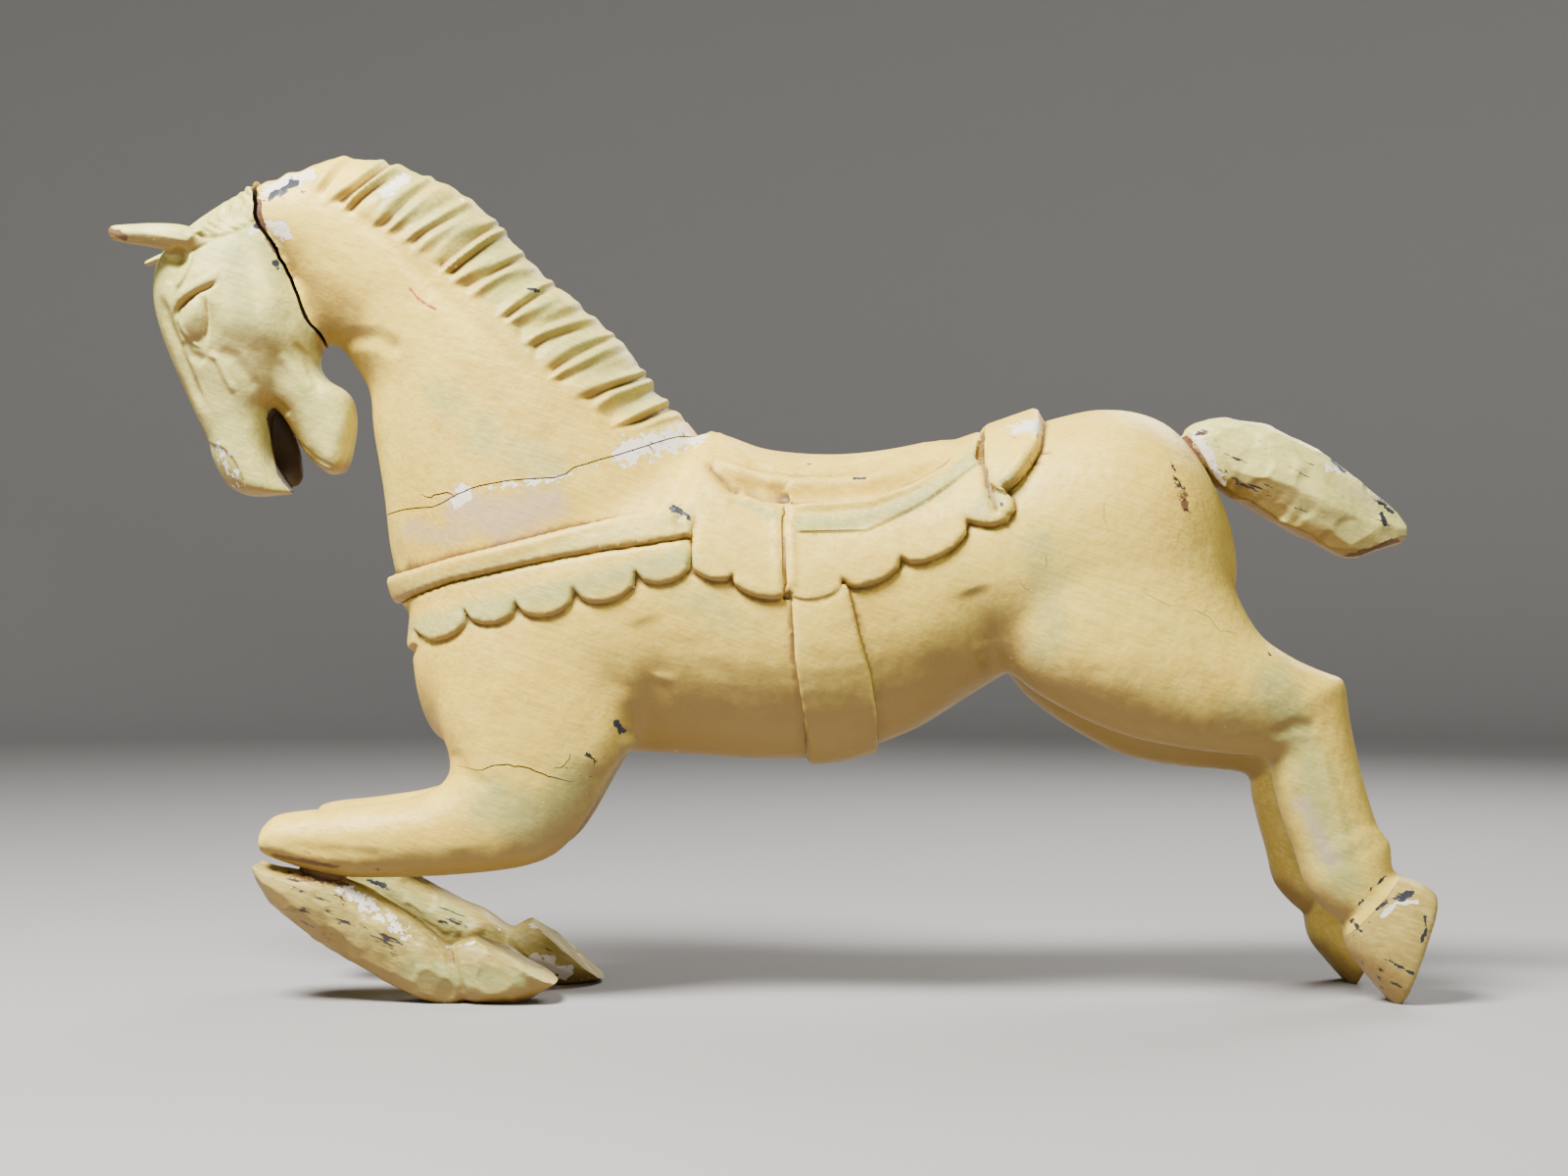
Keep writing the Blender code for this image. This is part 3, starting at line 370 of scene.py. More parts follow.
# Finer carving, drawn like the outlines: run of points, reach in squares, height in metres, + out and - in
SADDLE_STROKES = [
    ([(-8.8, 55.3), (-6.9, 53.9), (-3.8, 52.6), (-1.3, 52.1), (0.9, 51.8), (4.8, 51.8), (8.7, 52.1),
      (12.8, 53.3), (16.2, 55), (18.9, 57.5)], 0.8, 0.0038),
    ([(-7.2, 53.7), (-5.2, 52), (-2, 50.8), (1, 50.5), (4.8, 50.6), (9, 51), (13, 52.4), (16.2, 54.2),
      (19, 56.7)], 1.25, -0.0092),
    ([(-0.5, 49.3), (4.8, 49.5), (8.7, 49.8), (13.1, 51.5), (16.4, 53.7), (19.6, 56.5)], 0.7, 0.0044),
    ([(-4.2, 50.5), (-2.5, 49.7), (-0.5, 48.7)], 0.8, 0.0022),
    ([(-7.8, 54.1), (-6.2, 52.3), (-4.3, 50.9)], 1.2, -0.0040),
    ([(-8.6, 53.3), (-7.2, 51.5), (-5.2, 49.5)], 1.2, 0.0016),
    ([(0.6, 49.2), (0.8, 45.1), (0.9, 40.7)], 0.7, 0.0020),
    ([(-0.8, 48.6), (-0.8, 45.1), (-0.7, 41.1)], 0.7, 0.0012),
    ([(18.4, 58.1), (18.9, 57.3)], 1.2, 0.0060),
    ([(19.8, 58.3), (20.2, 56.3), (20, 54.1)], 0.9, -0.0060),
    ([(20.5, 54.1), (20.7, 51.9), (21.4, 49.9), (21.8, 48.5)], 0.8, -0.0034),
    ([(25, 55.6), (23.6, 53.1), (22.2, 51.5)], 1.4, 0.0030),
    ([(23, 56.6), (24.6, 56.9), (25.6, 56.5)], 0.6, -0.0030),
    ([(21.8, 49.1), (23, 49.6), (23.1, 48.6)], 0.9, 0.0020),
    ([(-10.4, 49.1), (-11, 47.9), (-10.3, 46.3), (-9.4, 45.1)], 0.8, -0.0024),
    ([(2, 47.1), (7, 47.3), (12.5, 48.9), (16.5, 51.1), (19.6, 54.1)], 1.2, -0.0016),
]
BODY_STROKES = [
    ([(-12.8, 32.1), (-14, 28.6), (-15.5, 24.9)], 2.6, -0.0040),
    ([(-14.5, 38.1), (-13.2, 34.6), (-12.9, 31.6)], 3.0, -0.0020),
    ([(-16, 31.1), (-17.5, 27.1), (-20, 22.1)], 2.6, 0.0022),
    ([(20.8, 35.1), (21.6, 32.7), (24, 31.1)], 1.8, -0.0050),
    ([(19, 41.1), (20.4, 37.1), (21, 34.9)], 3.0, -0.0030),
    ([(-33.8, 24.6), (-32.5, 22.1), (-30, 20.5)], 1.2, -0.0018),
    ([(61.6, 16.3), (59.6, 15.9), (57.2, 14.5), (55, 14.1)], 1.3, 0.0012),
    ([(50, 26.9), (53, 28.9), (56.2, 31.4)], 1.6, 0.0010),
    ([(49.6, 25.9), (52, 27.1), (54.5, 26.9)], 1.1, -0.0018),
    ([(54.5, 25.1), (56.5, 18.1), (57.8, 13.1)], 1.0, 0.0012),
    ([(52.2, 21.1), (54, 15.1), (55.2, 11.1)], 0.9, -0.0012),
    ([(-50, 17.3), (-47, 18.1), (-40, 18.3)], 1.1, 0.0010),
    ([(-51.5, 14.9), (-47, 14.3), (-40, 13.7)], 1.0, -0.0012),
]
GIRTH_STROKES = [
    ([(0.6, 39.9), (0.7, 34), (1.5, 27.9), (2.4, 23.5)], 0.7, -0.0010),
    ([(7.3, 39.9), (8.6, 36.1), (9.7, 32.1), (10.3, 28.1), (10.4, 23.9)], 0.7, -0.0010),
]
NECK_STROKES = [
    ([(-45.5, 65.9), (-43.8, 66.6), (-41.5, 66.6), (-39, 65.1)], 1.5, -0.0020),
    ([(-45, 79.6), (-41, 77.1), (-36, 72.1), (-31, 67.6), (-25.5, 62.1)], 1.3, -0.0016),
    ([(-38, 71.1), (-33, 66.1), (-28, 61.1), (-23, 57.1)], 2.2, 0.0010),
]
HEAD_STROKES = [
    ([(-63.7, 71.1), (-62.9, 68.3), (-61.7, 65.3), (-60.4, 62.1), (-59.3, 59.5)], 0.75, -0.0036),
    ([(-60.4, 72.9), (-59.2, 73.4), (-57.6, 72.9)], 1.1, 0.0012),
    ([(-62, 70.2), (-61, 71.4), (-59.7, 72.2), (-58.3, 72.8)], 0.7, 0.0018),
    ([(-62.1, 68.7), (-61.8, 69.6), (-61, 70.5), (-59.8, 71.3), (-58.7, 71.8), (-57.9, 72.4)], 0.42, -0.0040),
    ([(-58.7, 71.3), (-58.55, 69.1), (-58.6, 66.6), (-58.8, 65.1)], 0.45, 0.0009),
    ([(-59, 70.8), (-58.9, 68.6), (-59.1, 66.3)], 0.5, -0.0012),
    ([(-61.9, 68.9), (-61.4, 67.5), (-60.6, 66.4), (-59.4, 65.6)], 0.34, 0.0016),
    ([(-61.4, 66.3), (-60.4, 64.9), (-59, 64.1)], 0.8, -0.0016),
    ([(-58.8, 65.1), (-57.8, 64.5), (-57, 62.7), (-56, 60.9)], 0.55, 0.0018),
    ([(-57.8, 65.3), (-56, 64.5), (-54.8, 62.7), (-53.8, 61.3)], 1.1, -0.0014),
    ([(-50.2, 66.1), (-48.8, 64.7), (-47.8, 62.1), (-47.2, 60.9)], 0.7, -0.0018),
    ([(-51.5, 65.1), (-50, 63.3), (-48.2, 61.1)], 0.9, 0.0014),
    ([(-52.4, 60.3), (-51.6, 59.8), (-50.6, 58.7)], 0.7, -0.0022),
    ([(-51.2, 58.5), (-49.7, 56.1), (-47.8, 54.3), (-45.8, 53.3)], 0.24, -0.0022),
    ([(-61.9, 74.8)], 1.5, -0.0075),
    ([(-62.4, 74.9), (-62.2, 73.5), (-62.8, 72.1)], 0.8, -0.0020),
    ([(-60.4, 75.4), (-60.7, 74.1), (-61.4, 72.7), (-62, 71.7)], 0.42, 0.0024),
    ([(-61, 75.2), (-59.6, 75.9), (-58, 76.8)], 0.28, -0.0020),
    ([(-60.4, 77.4), (-58.6, 76.8), (-56.8, 77.1)], 0.4, -0.0022),
    ([(-67.8, 77.5), (-65, 77.3), (-62, 76.8), (-60.2, 76.5)], 0.36, 0.0010),
    ([(-67.8, 76.8), (-65, 76.5), (-62.2, 76)], 0.34, -0.0016),
    ([(-48.2, 63.1), (-44.8, 59.1), (-45.5, 55.6)], 1.6, 0.0012),
]
EYE_SOCKET = ([(-60.2, 68.3)], 3.3, -0.0042)
CHEEK = ([(-53.2, 68.6)], 6.2, 0.0034)
EYEBALL = ([(-60.2, 68.5)], (1.45, 2.2), 0.0090)
EYE_ROUND = 0.75

# Cracks, drawn like the outlines: run of points, width and depth in metres
NEAR_SPLITS = [
    ([(-33.6, 23), (-30.8, 22.6), (-28.7, 23.1), (-26.5, 22.7), (-24.4, 22.1), (-23.1, 21.6),
      (-21.4, 21.3)], 0.0012, 0.006),
    ([(-23.7, 22.7), (-22.3, 23.1), (-21.7, 24.4)], 0.0009, 0.004),
    ([(-20.2, 24.3), (-19.4, 23.6), (-19.5, 22.9)], 0.0010, 0.003),
    ([(32.9, 50.3), (32.7, 48.6), (33, 46.8)], 0.0006, 0.002),
    ([(26.7, 44.6), (26.8, 43.8), (26.6, 43)], 0.0007, 0.002),
    ([(41, 38.9), (42.3, 38.7), (43.6, 37.9), (44.5, 36.8), (46.5, 36.3)], 0.0006, 0.002),
    ([(36.5, 41.1), (38, 39.9), (41, 38.9)], 0.0005, 0.002),
    ([(24, 42.1), (24.6, 41.1), (25.8, 40.5)], 0.0005, 0.002),
]
NECK_SPLITS = [
    ([(-33, 50.3), (-34.5, 50.8), (-36, 50.4), (-37.2, 50.6)], 0.0013, 0.005),
    ([(-33.2, 50.3), (-34.8, 49.2), (-36.8, 49.3), (-38, 48.9), (-40.1, 48.2)], 0.0012, 0.005),
]

# Marks in the paint: kind, reach in squares, strength, run of points
TAIL_MARKS = [
    ("flake", 2.6, 0.9, [(42.6, 57.1), (45, 54.1), (48.2, 50.6)]),
    ("flake", 1.6, 0.7, [(49, 55.6), (54, 53.1)]),
    ("flake", 1.4, 0.9, [(60.4, 50.6), (61.8, 48.1)]),
    ("gesso", 1.0, 1.0, [(42.2, 56.1), (43.2, 54.3), (44.3, 52.1)]),
    ("wood", 0.9, 1.0, [(40, 57.3), (41.2, 55.3), (42.8, 52.9), (44, 50.5)]),
    ("wood", 0.5, 0.8, [(56.9, 44.1), (59.5, 44.7), (62.5, 45.9)]),
    ("gesso", 0.5, 0.9, [(55.4, 53.4), (56.6, 53)]),
    ("chip", 0.3, 1.0, [(56, 54.1), (57.2, 53.1)]),
    ("chip", 0.45, 1.0, [(60.8, 50.1), (62, 48.9)]),
    ("chip", 0.3, 1.0, [(61, 48.7), (61.4, 47.5)]),
    ("wash", 3.0, 0.8, [(50, 51.1), (58, 47.1)]),
    ("stain", 1.2, 0.6, [(57, 52.1), (60, 50.1)]),
]
FAR_MARKS = [
    ("gesso", 1.0, 1.0, [(-25.2, 3.2), (-23.8, 2.6), (-22.2, 1.9)]),
    ("gesso", 0.4, 1.0, [(-26, 6.9), (-24.4, 6.5), (-23.4, 5.3)]),
    ("gesso", 0.4, 0.9, [(-29.4, 7.3), (-28.8, 6.3)]),
    ("flake", 3.0, 0.9, [(-44, 10.6), (-38, 8.1), (-32, 6.1)]),
    ("flake", 2.0, 0.7, [(-24, 5.6), (-20, 2.6), (-18.8, 1.1)]),
    ("chip", 0.35, 1.0, [(-42.5, 11.3), (-40.8, 10.7)]),
    ("wash", 2.5, 0.8, [(-42, 10.6), (-33, 7.1)]),
]
SHIN_MARKS = [
    ("wood", 1.4, 1.0, [(-50, 12.7), (-47, 12.1), (-45, 11.9)]),
    ("wood", 0.4, 1.0, [(-53.8, 13.5), (-51.5, 13), (-50, 12.7)]),
    ("gesso", 1.2, 0.7, [(-45, 10.6), (-41, 7.6), (-39, 6.1)]),
    ("wash", 2.0, 0.9, [(-38, 2.1), (-32, 1.1), (-26, 1.1)]),
]
NEAR_MARKS = [
    ("wood", 0.22, 1.0, [(-52, 13.8), (-49, 13.2), (-45.5, 12.6)]),
    ("wood", 0.4, 0.9, [(-53.9, 81.5), (-53.6, 79.6), (-53.3, 78.1), (-52.8, 77.1), (-51.9, 75.6)]),
    ("wood", 0.16, 0.8, [(-51.9, 75.6), (-50.5, 72.9), (-49.3, 70.1), (-48.4, 68.1), (-47, 66.3)]),
    ("flake", 2.2, 1.0, [(-50, 10.6), (-45, 7.1), (-40, 4.6)]),
    ("flake", 1.4, 0.8, [(-53, 12.1), (-50, 9.1), (-46, 5.6), (-40, 2.1)]),
    ("flake", 2.4, 0.8, [(-42, 13.1), (-45, 14.3), (-48, 13.1)]),
    ("flake", 2.5, 0.8, [(57.5, 5.1), (60, 2.1), (62, 0.1)]),
    ("flake", 1.8, 0.8, [(-53, 81.1), (-50, 82.1)]),
    ("flake", 1.2, 0.8, [(-16, 54.9), (-10, 56.6)]),
    ("flake", 2.0, 0.6, [(-18, 24.1), (-20, 22.1), (-24, 23.1)]),
    ("gesso", 0.55, 1.0, [(-34.4, 4.8), (-31.3, 5.4), (-28, 4.1), (-25.5, 2.6), (-23, 0.9)]),
    ("gesso", 0.6, 0.9, [(-36, 6.6), (-35, 5.6), (-34.4, 4.8)]),
    ("wood", 0.32, 1.0, [(-30.3, 4.9), (-28.8, 4.1)]),
    ("chip", 0.28, 1.0, [(60.5, 8.3), (61.8, 9.3), (63.6, 9.7), (64.4, 9.5)]),
    ("gesso", 0.35, 1.0, [(61, 7.7), (62.4, 8.9), (64.6, 9.1)]),
    ("chip", 0.2, 0.9, [(58.4, 8.5), (59.8, 10.1), (61.4, 11.7)]),
    ("chip", 0.3, 0.9, [(65.4, 7.5), (65.6, 6.3), (65, 4.9)]),
    ("chip", 0.35, 0.9, [(58, 7.1), (58.8, 6.1)]),
    ("chip", 0.25, 1.0, [(61.7, 3.2), (62.8, 2.4), (64.2, 1.8)]),
    ("chip", 0.35, 1.0, [(60.2, 0.9), (61.2, -0.1)]),
    ("stain", 1.5, 0.8, [(53, 19.1), (54.5, 16.1), (56, 13.1)]),
    ("flake", 1.2, 1.0, [(40, 52.1), (41.2, 48.6)]),
    ("wood", 0.7, 0.6, [(40.4, 51.3), (41.1, 49.3)]),
    ("gesso", 1.5, 1.0, [(-16.2, 54.8), (-14, 55.5), (-11, 56.5), (-8.8, 57.1)]),
    ("gesso", 0.45, 0.8, [(-30, 51.4), (-25.5, 52), (-22.6, 52.3), (-19, 53.7)]),
    ("gesso", 0.7, 1.0, [(-33, 51.3), (-32.2, 50.7), (-33.4, 49.9)]),
    ("gesso", 0.8, 1.0, [(23.6, 57.5), (25, 58), (25.8, 57.4)]),
    ("gesso", 0.9, 1.0, [(-52.8, 81.5), (-51.5, 82.3), (-50, 82.9), (-48.6, 83.3)]),
    ("gesso", 0.9, 1.0, [(-51.9, 78.2), (-51, 77.1)]),
    ("gesso", 0.45, 1.0, [(-54.2, 77.5), (-53.1, 78.3)]),
    ("gesso", 0.7, 1.0, [(-40.8, 81.4), (-39.8, 82.3), (-38.8, 82.9)]),
    ("gesso", 0.5, 1.0, [(-32.6, 81), (-31.4, 81.3)]),
    ("wash", 1.6, 1.0, [(-57.5, 54.9), (-56.6, 53.3), (-55.7, 51.7)]),
    ("gesso", 0.9, 0.62, [(-57.8, 55.3), (-56.6, 53.7), (-55.8, 52.3)]),
    ("wash", 2.2, 1.0, [(-56, 75.1), (-55.4, 71.1), (-55, 67.6)]),
    ("wash", 1.6, 0.9, [(-53, 76.1), (-52, 72.1)]),
    ("red", 0.9, 0.35, [(-54.2, 64.9), (-53.4, 64.3)]),
    ("wood", 0.7, 1.0, [(-38.3, 84.5), (-37.2, 84.3), (-35.8, 83.5)]),
    ("wood", 0.45, 1.0, [(-69, 77.7), (-68, 77.3), (-67.3, 76.9)]),
    ("stain", 2.8, 1.0, [(-33, 49.1), (-29, 48.1), (-24, 49.6)]),
    ("stain", 1.8, 0.8, [(-38, 46.9), (-35, 46.3), (-32, 47.1)]),
    ("chip", 0.5, 1.0, [(-17.1, 27.3), (-16.6, 26.6)]),
    ("chip", 0.4, 1.0, [(-11.6, 49.4), (-10.6, 48.9), (-9.6, 48.2)]),
    ("chip", 0.2, 0.8, [(39.4, 54), (40.4, 51.9), (41.4, 48.8)]),
    ("chip", 0.35, 0.9, [(49.5, 34.4)]),
    ("chip", 0.3, 0.9, [(7.7, 32.8)]),
    ("chip", 0.35, 0.9, [(21, 50.5)]),
    ("chip", 0.3, 0.9, [(22.2, 49.7)]),
    ("chip", 0.28, 0.9, [(-20.2, 24.2), (-19.2, 23.5)]),
    ("chip", 0.5, 1.0, [(62.8, 9.4), (64, 9.9)]),
    ("chip", 0.4, 1.0, [(-51.9, 74.3), (-51.6, 73.8)]),
    ("chip", 0.6, 0.9, [(-52.4, 81.1), (-51, 81.7), (-50, 82.5)]),
    ("chip", 0.4, 0.9, [(-53.8, 78.1), (-53.4, 77.9)]),
    ("chip", 0.3, 0.8, [(-26.1, 71.6), (-24.9, 71.4)]),
    ("chip", 0.3, 0.8, [(7.2, 52.2), (8.8, 52.4)]),
    ("chip", 0.3, 0.8, [(1.9, 54.1), (2.8, 53.7)]),
    ("red", 0.2, 1.0, [(-38.2, 71.7), (-37.6, 70.9), (-36.8, 70.2), (-35.5, 69.5)]),
    ("red", 0.14, 0.6, [(-35.5, 69.5), (-33, 68.1)]),
    ("wash", 1.2, 1.0, [(2, 47.7), (7, 47.9), (12.5, 49.5), (16.5, 51.7), (19.8, 54.9)]),
    ("wash", 0.6, 0.8, [(-4.5, 49.9), (-0.5, 48.1)]),
    ("wash", 1.6, 0.6, [(-38, 41.1), (-24, 44.6), (-10, 48.1)]),
    ("wash", 1.6, 1.0, [(-37, 37.1), (-24, 40.5), (-10, 44.1)]),
    ("wash", 3.6, 0.9, [(-30, 19.1), (-24, 16.1), (-21, 21.1)]),
    ("wash", 3.0, 0.7, [(26, 45.1), (27.5, 37.1), (25, 32.1)]),
    ("wash", 3.4, 0.9, [(50, 31.1), (54, 21.1), (57, 11.1)]),
    ("wash", 2.6, 0.6, [(39, 24.1), (45, 27.1), (50, 31.1)]),
    ("wash", 3.0, 0.7, [(-35, 61.1), (-30, 56.1), (-24, 53.1)]),
    ("wash", 4.5, 0.9, [(-40, 82.1), (-32, 77.1), (-24, 68.1), (-14, 61.1)]),
    ("wash", 2.0, 0.8, [(23, 52.1), (20, 49.1)]),
    ("wash", 2.4, 0.6, [(-11, 41.1), (-4, 37.1)]),
]

LEG_STROKES = [
    ([(-50, 11.8), (-46, 8.6), (-41, 5.1)], 1.3, 0.0014),
    ([(-47, 12.1), (-42, 8.6), (-37.5, 5.9), (-34.5, 4.1)], 1.0, -0.0016),
    ([(-40, 8.6), (-37, 6.6), (-34.8, 4.9)], 1.1, 0.0022),
    ([(-34.2, 5.3), (-34, 3.6), (-33.4, 1.1), (-32.8, -0.9)], 0.9, -0.0034),
    ([(-33.7, 5), (-31.3, 5.5), (-28, 4.2), (-23.2, 0.9)], 0.9, 0.0026),
    ([(-30.3, 3.6), (-30, 1.6), (-29.5, -0.1)], 1.2, -0.0012),
    ([(-28, 2.6), (-26.5, 1.1), (-25.5, 0.1)], 1.0, -0.0014),
    ([(-37, 5.6), (-36.3, 2.6), (-36, -0.4)], 1.0, 0.0014),
    ([(-40.5, 6.6), (-38.5, 2.6), (-37.5, 0.1)], 0.9, -0.0014),
    ([(-29.9, 9), (-28.8, 7.6), (-27.6, 6.3)], 0.9, -0.0022),
]
TAIL_STROKES = [
    ([(41, 56.5), (43.7, 52.1)], 1.2, 0.0014),
    ([(43, 56.7), (45.6, 51.7)], 1.2, -0.0016),
    ([(47, 50.4), (50.2, 47.9), (54.8, 45.6), (57.1, 44.5)], 1.1, 0.0022),
    ([(46.2, 49.1), (49.6, 46.5), (54.4, 43.9)], 1.2, -0.0022),
    ([(46, 54.1), (52, 52.1), (58, 49.1)], 2.4, 0.0018),
    ([(48, 51.1), (54, 48.6), (60, 46.3)], 1.8, -0.0014),
]

# How near an outline its depth is worked out, in squares
DEPTH_REACH = 3.0

# Points drawn in to an outline: from how many cells away, how close, how strongly, and the step for its slope
GATHER_CELLS = 2.0
GATHER_EDGE = 0.08
GATHER_POWER = 2.5
GATHER_STEP = 0.02

# How far a surface turns to the side, as the side part of its normal: edge-on and turned enough
EDGE_ON, TURNED = 0.15, 0.45
STROKE_EDGE_ON, STROKE_TURNED = 0.1, 0.6

# Cracks: pieces to a stretch and how far each strays, in squares, and the cells through the block
CRACK_STEPS, CRACK_WANDER = 3, 0.10
SPLIT_STEPS, SPLIT_WANDER = 4, 0.12
CRACK_LAYERS = 137
HEAD_CRACK_TAPER = (1.9, 0.6)
SPLIT_PROUD = 0.004
SPLIT_SECTION = ((SPLIT_PROUD, -1.6), (SPLIT_PROUD, 1.6))
LEAST_SPLIT = 0.15

# Layers and strokes of the carving
WALL_FOOT, WALL_CORNER, WORN_CORNER = -0.03, 0.12, 0.6
WALL_SHARE = 0.8
STROKE_START, STROKE_TAPER = -0.04, 0.16
FRONT_FADE = 2.4
UNDERCUT = 0.0010
UNDERCUT_PLACE, UNDERCUT_WIDTH = 0.25, 0.3
UNDERCUT_HEIGHTS = (-52, -47)
SOFTEN = 0.4
NOSTRIL_DEPTH = 0.0024

# Flat shavings: how the knife leans, the most it takes, then number, depth and reach on each block
WHITTLE_LEAN, WHITTLE_MOST, WHITTLE_FLAT = 0.06, 2.2, 0.6
LEG_CUTS, TAIL_CUTS, TRUNK_CUTS = 260, 220, 500
LEG_SHAVING, TRUNK_SHAVING = 0.0011, 0.0004
LEG_FACET, TRUNK_FACET = 0.020, 0.024

# Starting numbers of the random draws
HEAD_CRACK_SEED, NECK_CRACK_SEED = 3, 5
TRUNK_SEED, LEG_SEED, TAIL_SEED = 11, 21, 31
NECK_SPLIT_SEED, BODY_SPLIT_SEED = 40, 60

# The mane: how each lock is shaped, bends towards the crest and strays from its neighbours
MANE_WIDTH = 10.5
LOCK_BEND = 1.25
LOCK_WANDER = 0.16
LOCK_CREST = 0.60
LOCK_START, LOCK_FULL = -0.4, 2.2
CUT_START, CUT_FULL = -0.4, 0.7
CREST_SHARE = 0.20
STRANDS = 2.3
STRAND_SHARE = 0.16
STRAND_LEAN = 0.12
LOCK_LOW, LOCK_RISE = 0.55, 0.45
LOCK_END, LOCK_END_WAVE = 0.45, 0.15
LOCK_EASE = 1.2
MOST_UP = 1.3

# The short hair between the ears: from knob to knob in squares, and its height in metres
KNOB_PITCH = 1.17
KNOB_DEPTH = 0.0046

# Paint: reach of the near and the wide look at a hollow in rounds, and the dirt and painted shade in the
# mouth
FINE_ROUNDS, BROAD_ROUNDS = 2, 14
MOUTH_DIRT_AND_SHADE = 2.2
MARK_FADE = 1.7

# Washes and flaking all over each piece
BODY_WASH, NECK_WASH, HEAD_WASH = 0.12, 0.15, 0.65
HOOF_WASH, LEG_WASH, TAIL_WASH = 0.3, 0.4, 0.6
HOOF_FLAKE, LEG_FLAKE, TAIL_FLAKE = 0.35, 0.25, 0.35

# Mottling of the paint: scale to the metre, detail and roughness
CLOUD = (7.0, 5.0, 0.6)
MOTTLE = (38.0, 6.0, 0.62)
FINE = (230.0, 5.0, 0.6)
BRUSH = (330.0, 3.0, 0.6)
LUMPS = (85.0, 3.0, 0.5)
FLAKES = (110.0, 5.0, 0.6)
VEIL = (3.2, 3.0, 0.55)
GRAIN = (60.0, 5.0, 0.6)
STREAKS = (170.0, 5.0, 0.65)
STROKE_STRETCH, STROKE_SLANT = 0.16, 0.35

# How each effect of age, and the painted shade underneath and in the hollows, comes in: the value it starts
# from, the value it is full at, and how much of it shows
YELLOWED = (0.38, 0.62)
VEILED = (0.45, 0.72, 0.22)
WASHED = (0.15, 0.95, 0.85)
BRUSHED_DARK = (0.45, 0.75, 0.20)
BRUSHED_PALE = (0.55, 0.30, 0.25)
RUBBED, RUBBED_SHARE = (0.4, 0.7), 0.35
# Painted shade on faces turned down
UNDERSIDE_SHADE = (0.05, 0.85, 0.95)
# Dirt and painted shade in the hollows and the mouth, blackest in cracks and deep hollows
GRIMY_AND_SHADED = (0.05, 1.0)
BLACKENED_AND_SHADED = (0.75, 1.5)
STAINED = (0.8, 1.5, 0.55)
SPECKED = (0.70, 0.76, 0.5)
BARE = (0.55, 0.62)
CHIPPED = (0.62, 0.7)
SCRATCHED = (0.4, 0.8)
GRAINED = (0.3, 0.7)
# Bare wood darkened by dirt and by painted shade in the hollows
SOILED_AND_SHADED = (0.8, 1.7)
BROKEN = (0.45, 0.6)
FLAKED = (0.77, 0.80)
FLAKED_DARK = (0.45, 0.55)

# How strongly the mottling shows in the mixture of each effect
CLOUD_SHARE, MOTTLE_SHARE = 0.65, 0.35
WASH_MIDDLE, WASH_MOTTLE = 0.55, 0.9
UNDERSIDE_SHADE_SHARE, GRIME_AND_SHADE_SHARE = 0.45, 0.55
RAGGED_FLAKES, RAGGED_FINE = 2.4, 0.9
CHIP_RAGGED, WOOD_RAGGED, FLAKE_SHARE = 0.9, 0.6, 0.22

# Gloss and the fine unevenness of the coat
SMOOTHEST, MOTTLE_ROUGH, BARE_ROUGH, SHEEN = 0.36, 0.25, 0.25, 0.4
BRUSH_HEIGHT, LUMP_HEIGHT, FINE_HEIGHT, GRAIN_HEIGHT, COAT_HEIGHT = 0.35, 1.3, 0.3, 2.0, 0.5
UNEVEN_SHARE, UNEVEN_DEPTH = 0.7, 0.0012

# Hollows and ridges that show in the paint, in metres, and depths below the old surface, in cells. The
# hollows get dirt and painted shade, and faces turned down get painted shade
FINE_HOLLOW, BROAD_HOLLOW, RIDGE = (0.00006, 0.0008), (0.0002, 0.0026), (0.00006, 0.0005)
FINE_DIRT_AND_SHADE, BROAD_DIRT_AND_SHADE, DEEP_DIRT = 0.50, 0.55, 2
FACING_DOWN = (-0.1, 0.75)
BARE_CELLS, DIRTY_CELLS = (0.8, 1.6), (1.2, 3)

# The studio: floor bent up into a wall all round, then the soft lights
STAGE_RADIUS, STAGE_BEND, STAGE_HEIGHT, STAGE_SIDES = 6.5, 1.5, 4.5, 96
STAGE_ROUGHNESS = 0.75
LIGHT_TARGET = (0.0, 0.0, 0.4)
KEY_LIGHT = ("key_light", (-1.1, -1.25, 2.75), LIGHT_TARGET, 1.2, 0.9, (1.0, 0.97, 0.93))
BACK_LIGHT = ("back_light", (1.4, 2.3, 2.3), LIGHT_TARGET, 1.6, 1.2, (1.0, 0.98, 0.95))
FILL_LIGHT = ("fill_light", (2.6, -2.2, 1.2), (0.1, 0.0, 0.4), 1.8, 1.8, (0.95, 0.97, 1.0))
SKY_COLOUR = (0.93, 0.95, 1.0, 1)
SENSOR_WIDTH = 36.0


# Mesh work


def spline(points, steps):
    """A smooth curve through every point."""
    p = np.array(points, float)
    padded = np.vstack([2 * p[0] - p[1], p, 2 * p[-1] - p[-2]])
    rows = []
    for i in range(len(p) - 1):
        a, b, c, d = padded[i : i + 4]
        for t in np.arange(steps) / steps:
            bend, twist = 2 * a - 5 * b + 4 * c - d, 3 * b - a - 3 * c + d
            rows.append(0.5 * (2 * b + (c - a) * t + bend * t**2 + twist * t**3))
    rows.append(p[-1])
    return np.array(rows)


def mesh_from(bm):
    bmesh.ops.recalc_face_normals(bm, faces=bm.faces)
    mesh = bpy.data.meshes.new("block")
    bm.to_mesh(mesh)
    bm.free()
    return mesh


def skin(bm, rings):
    """Faces between each ring of points and the next."""
    for low, high in zip(rings, rings[1:]):
        for i in range(len(low)):
            j = (i + 1) % len(low)
            bm.faces.new((low[i], low[j], high[j], high[i]))


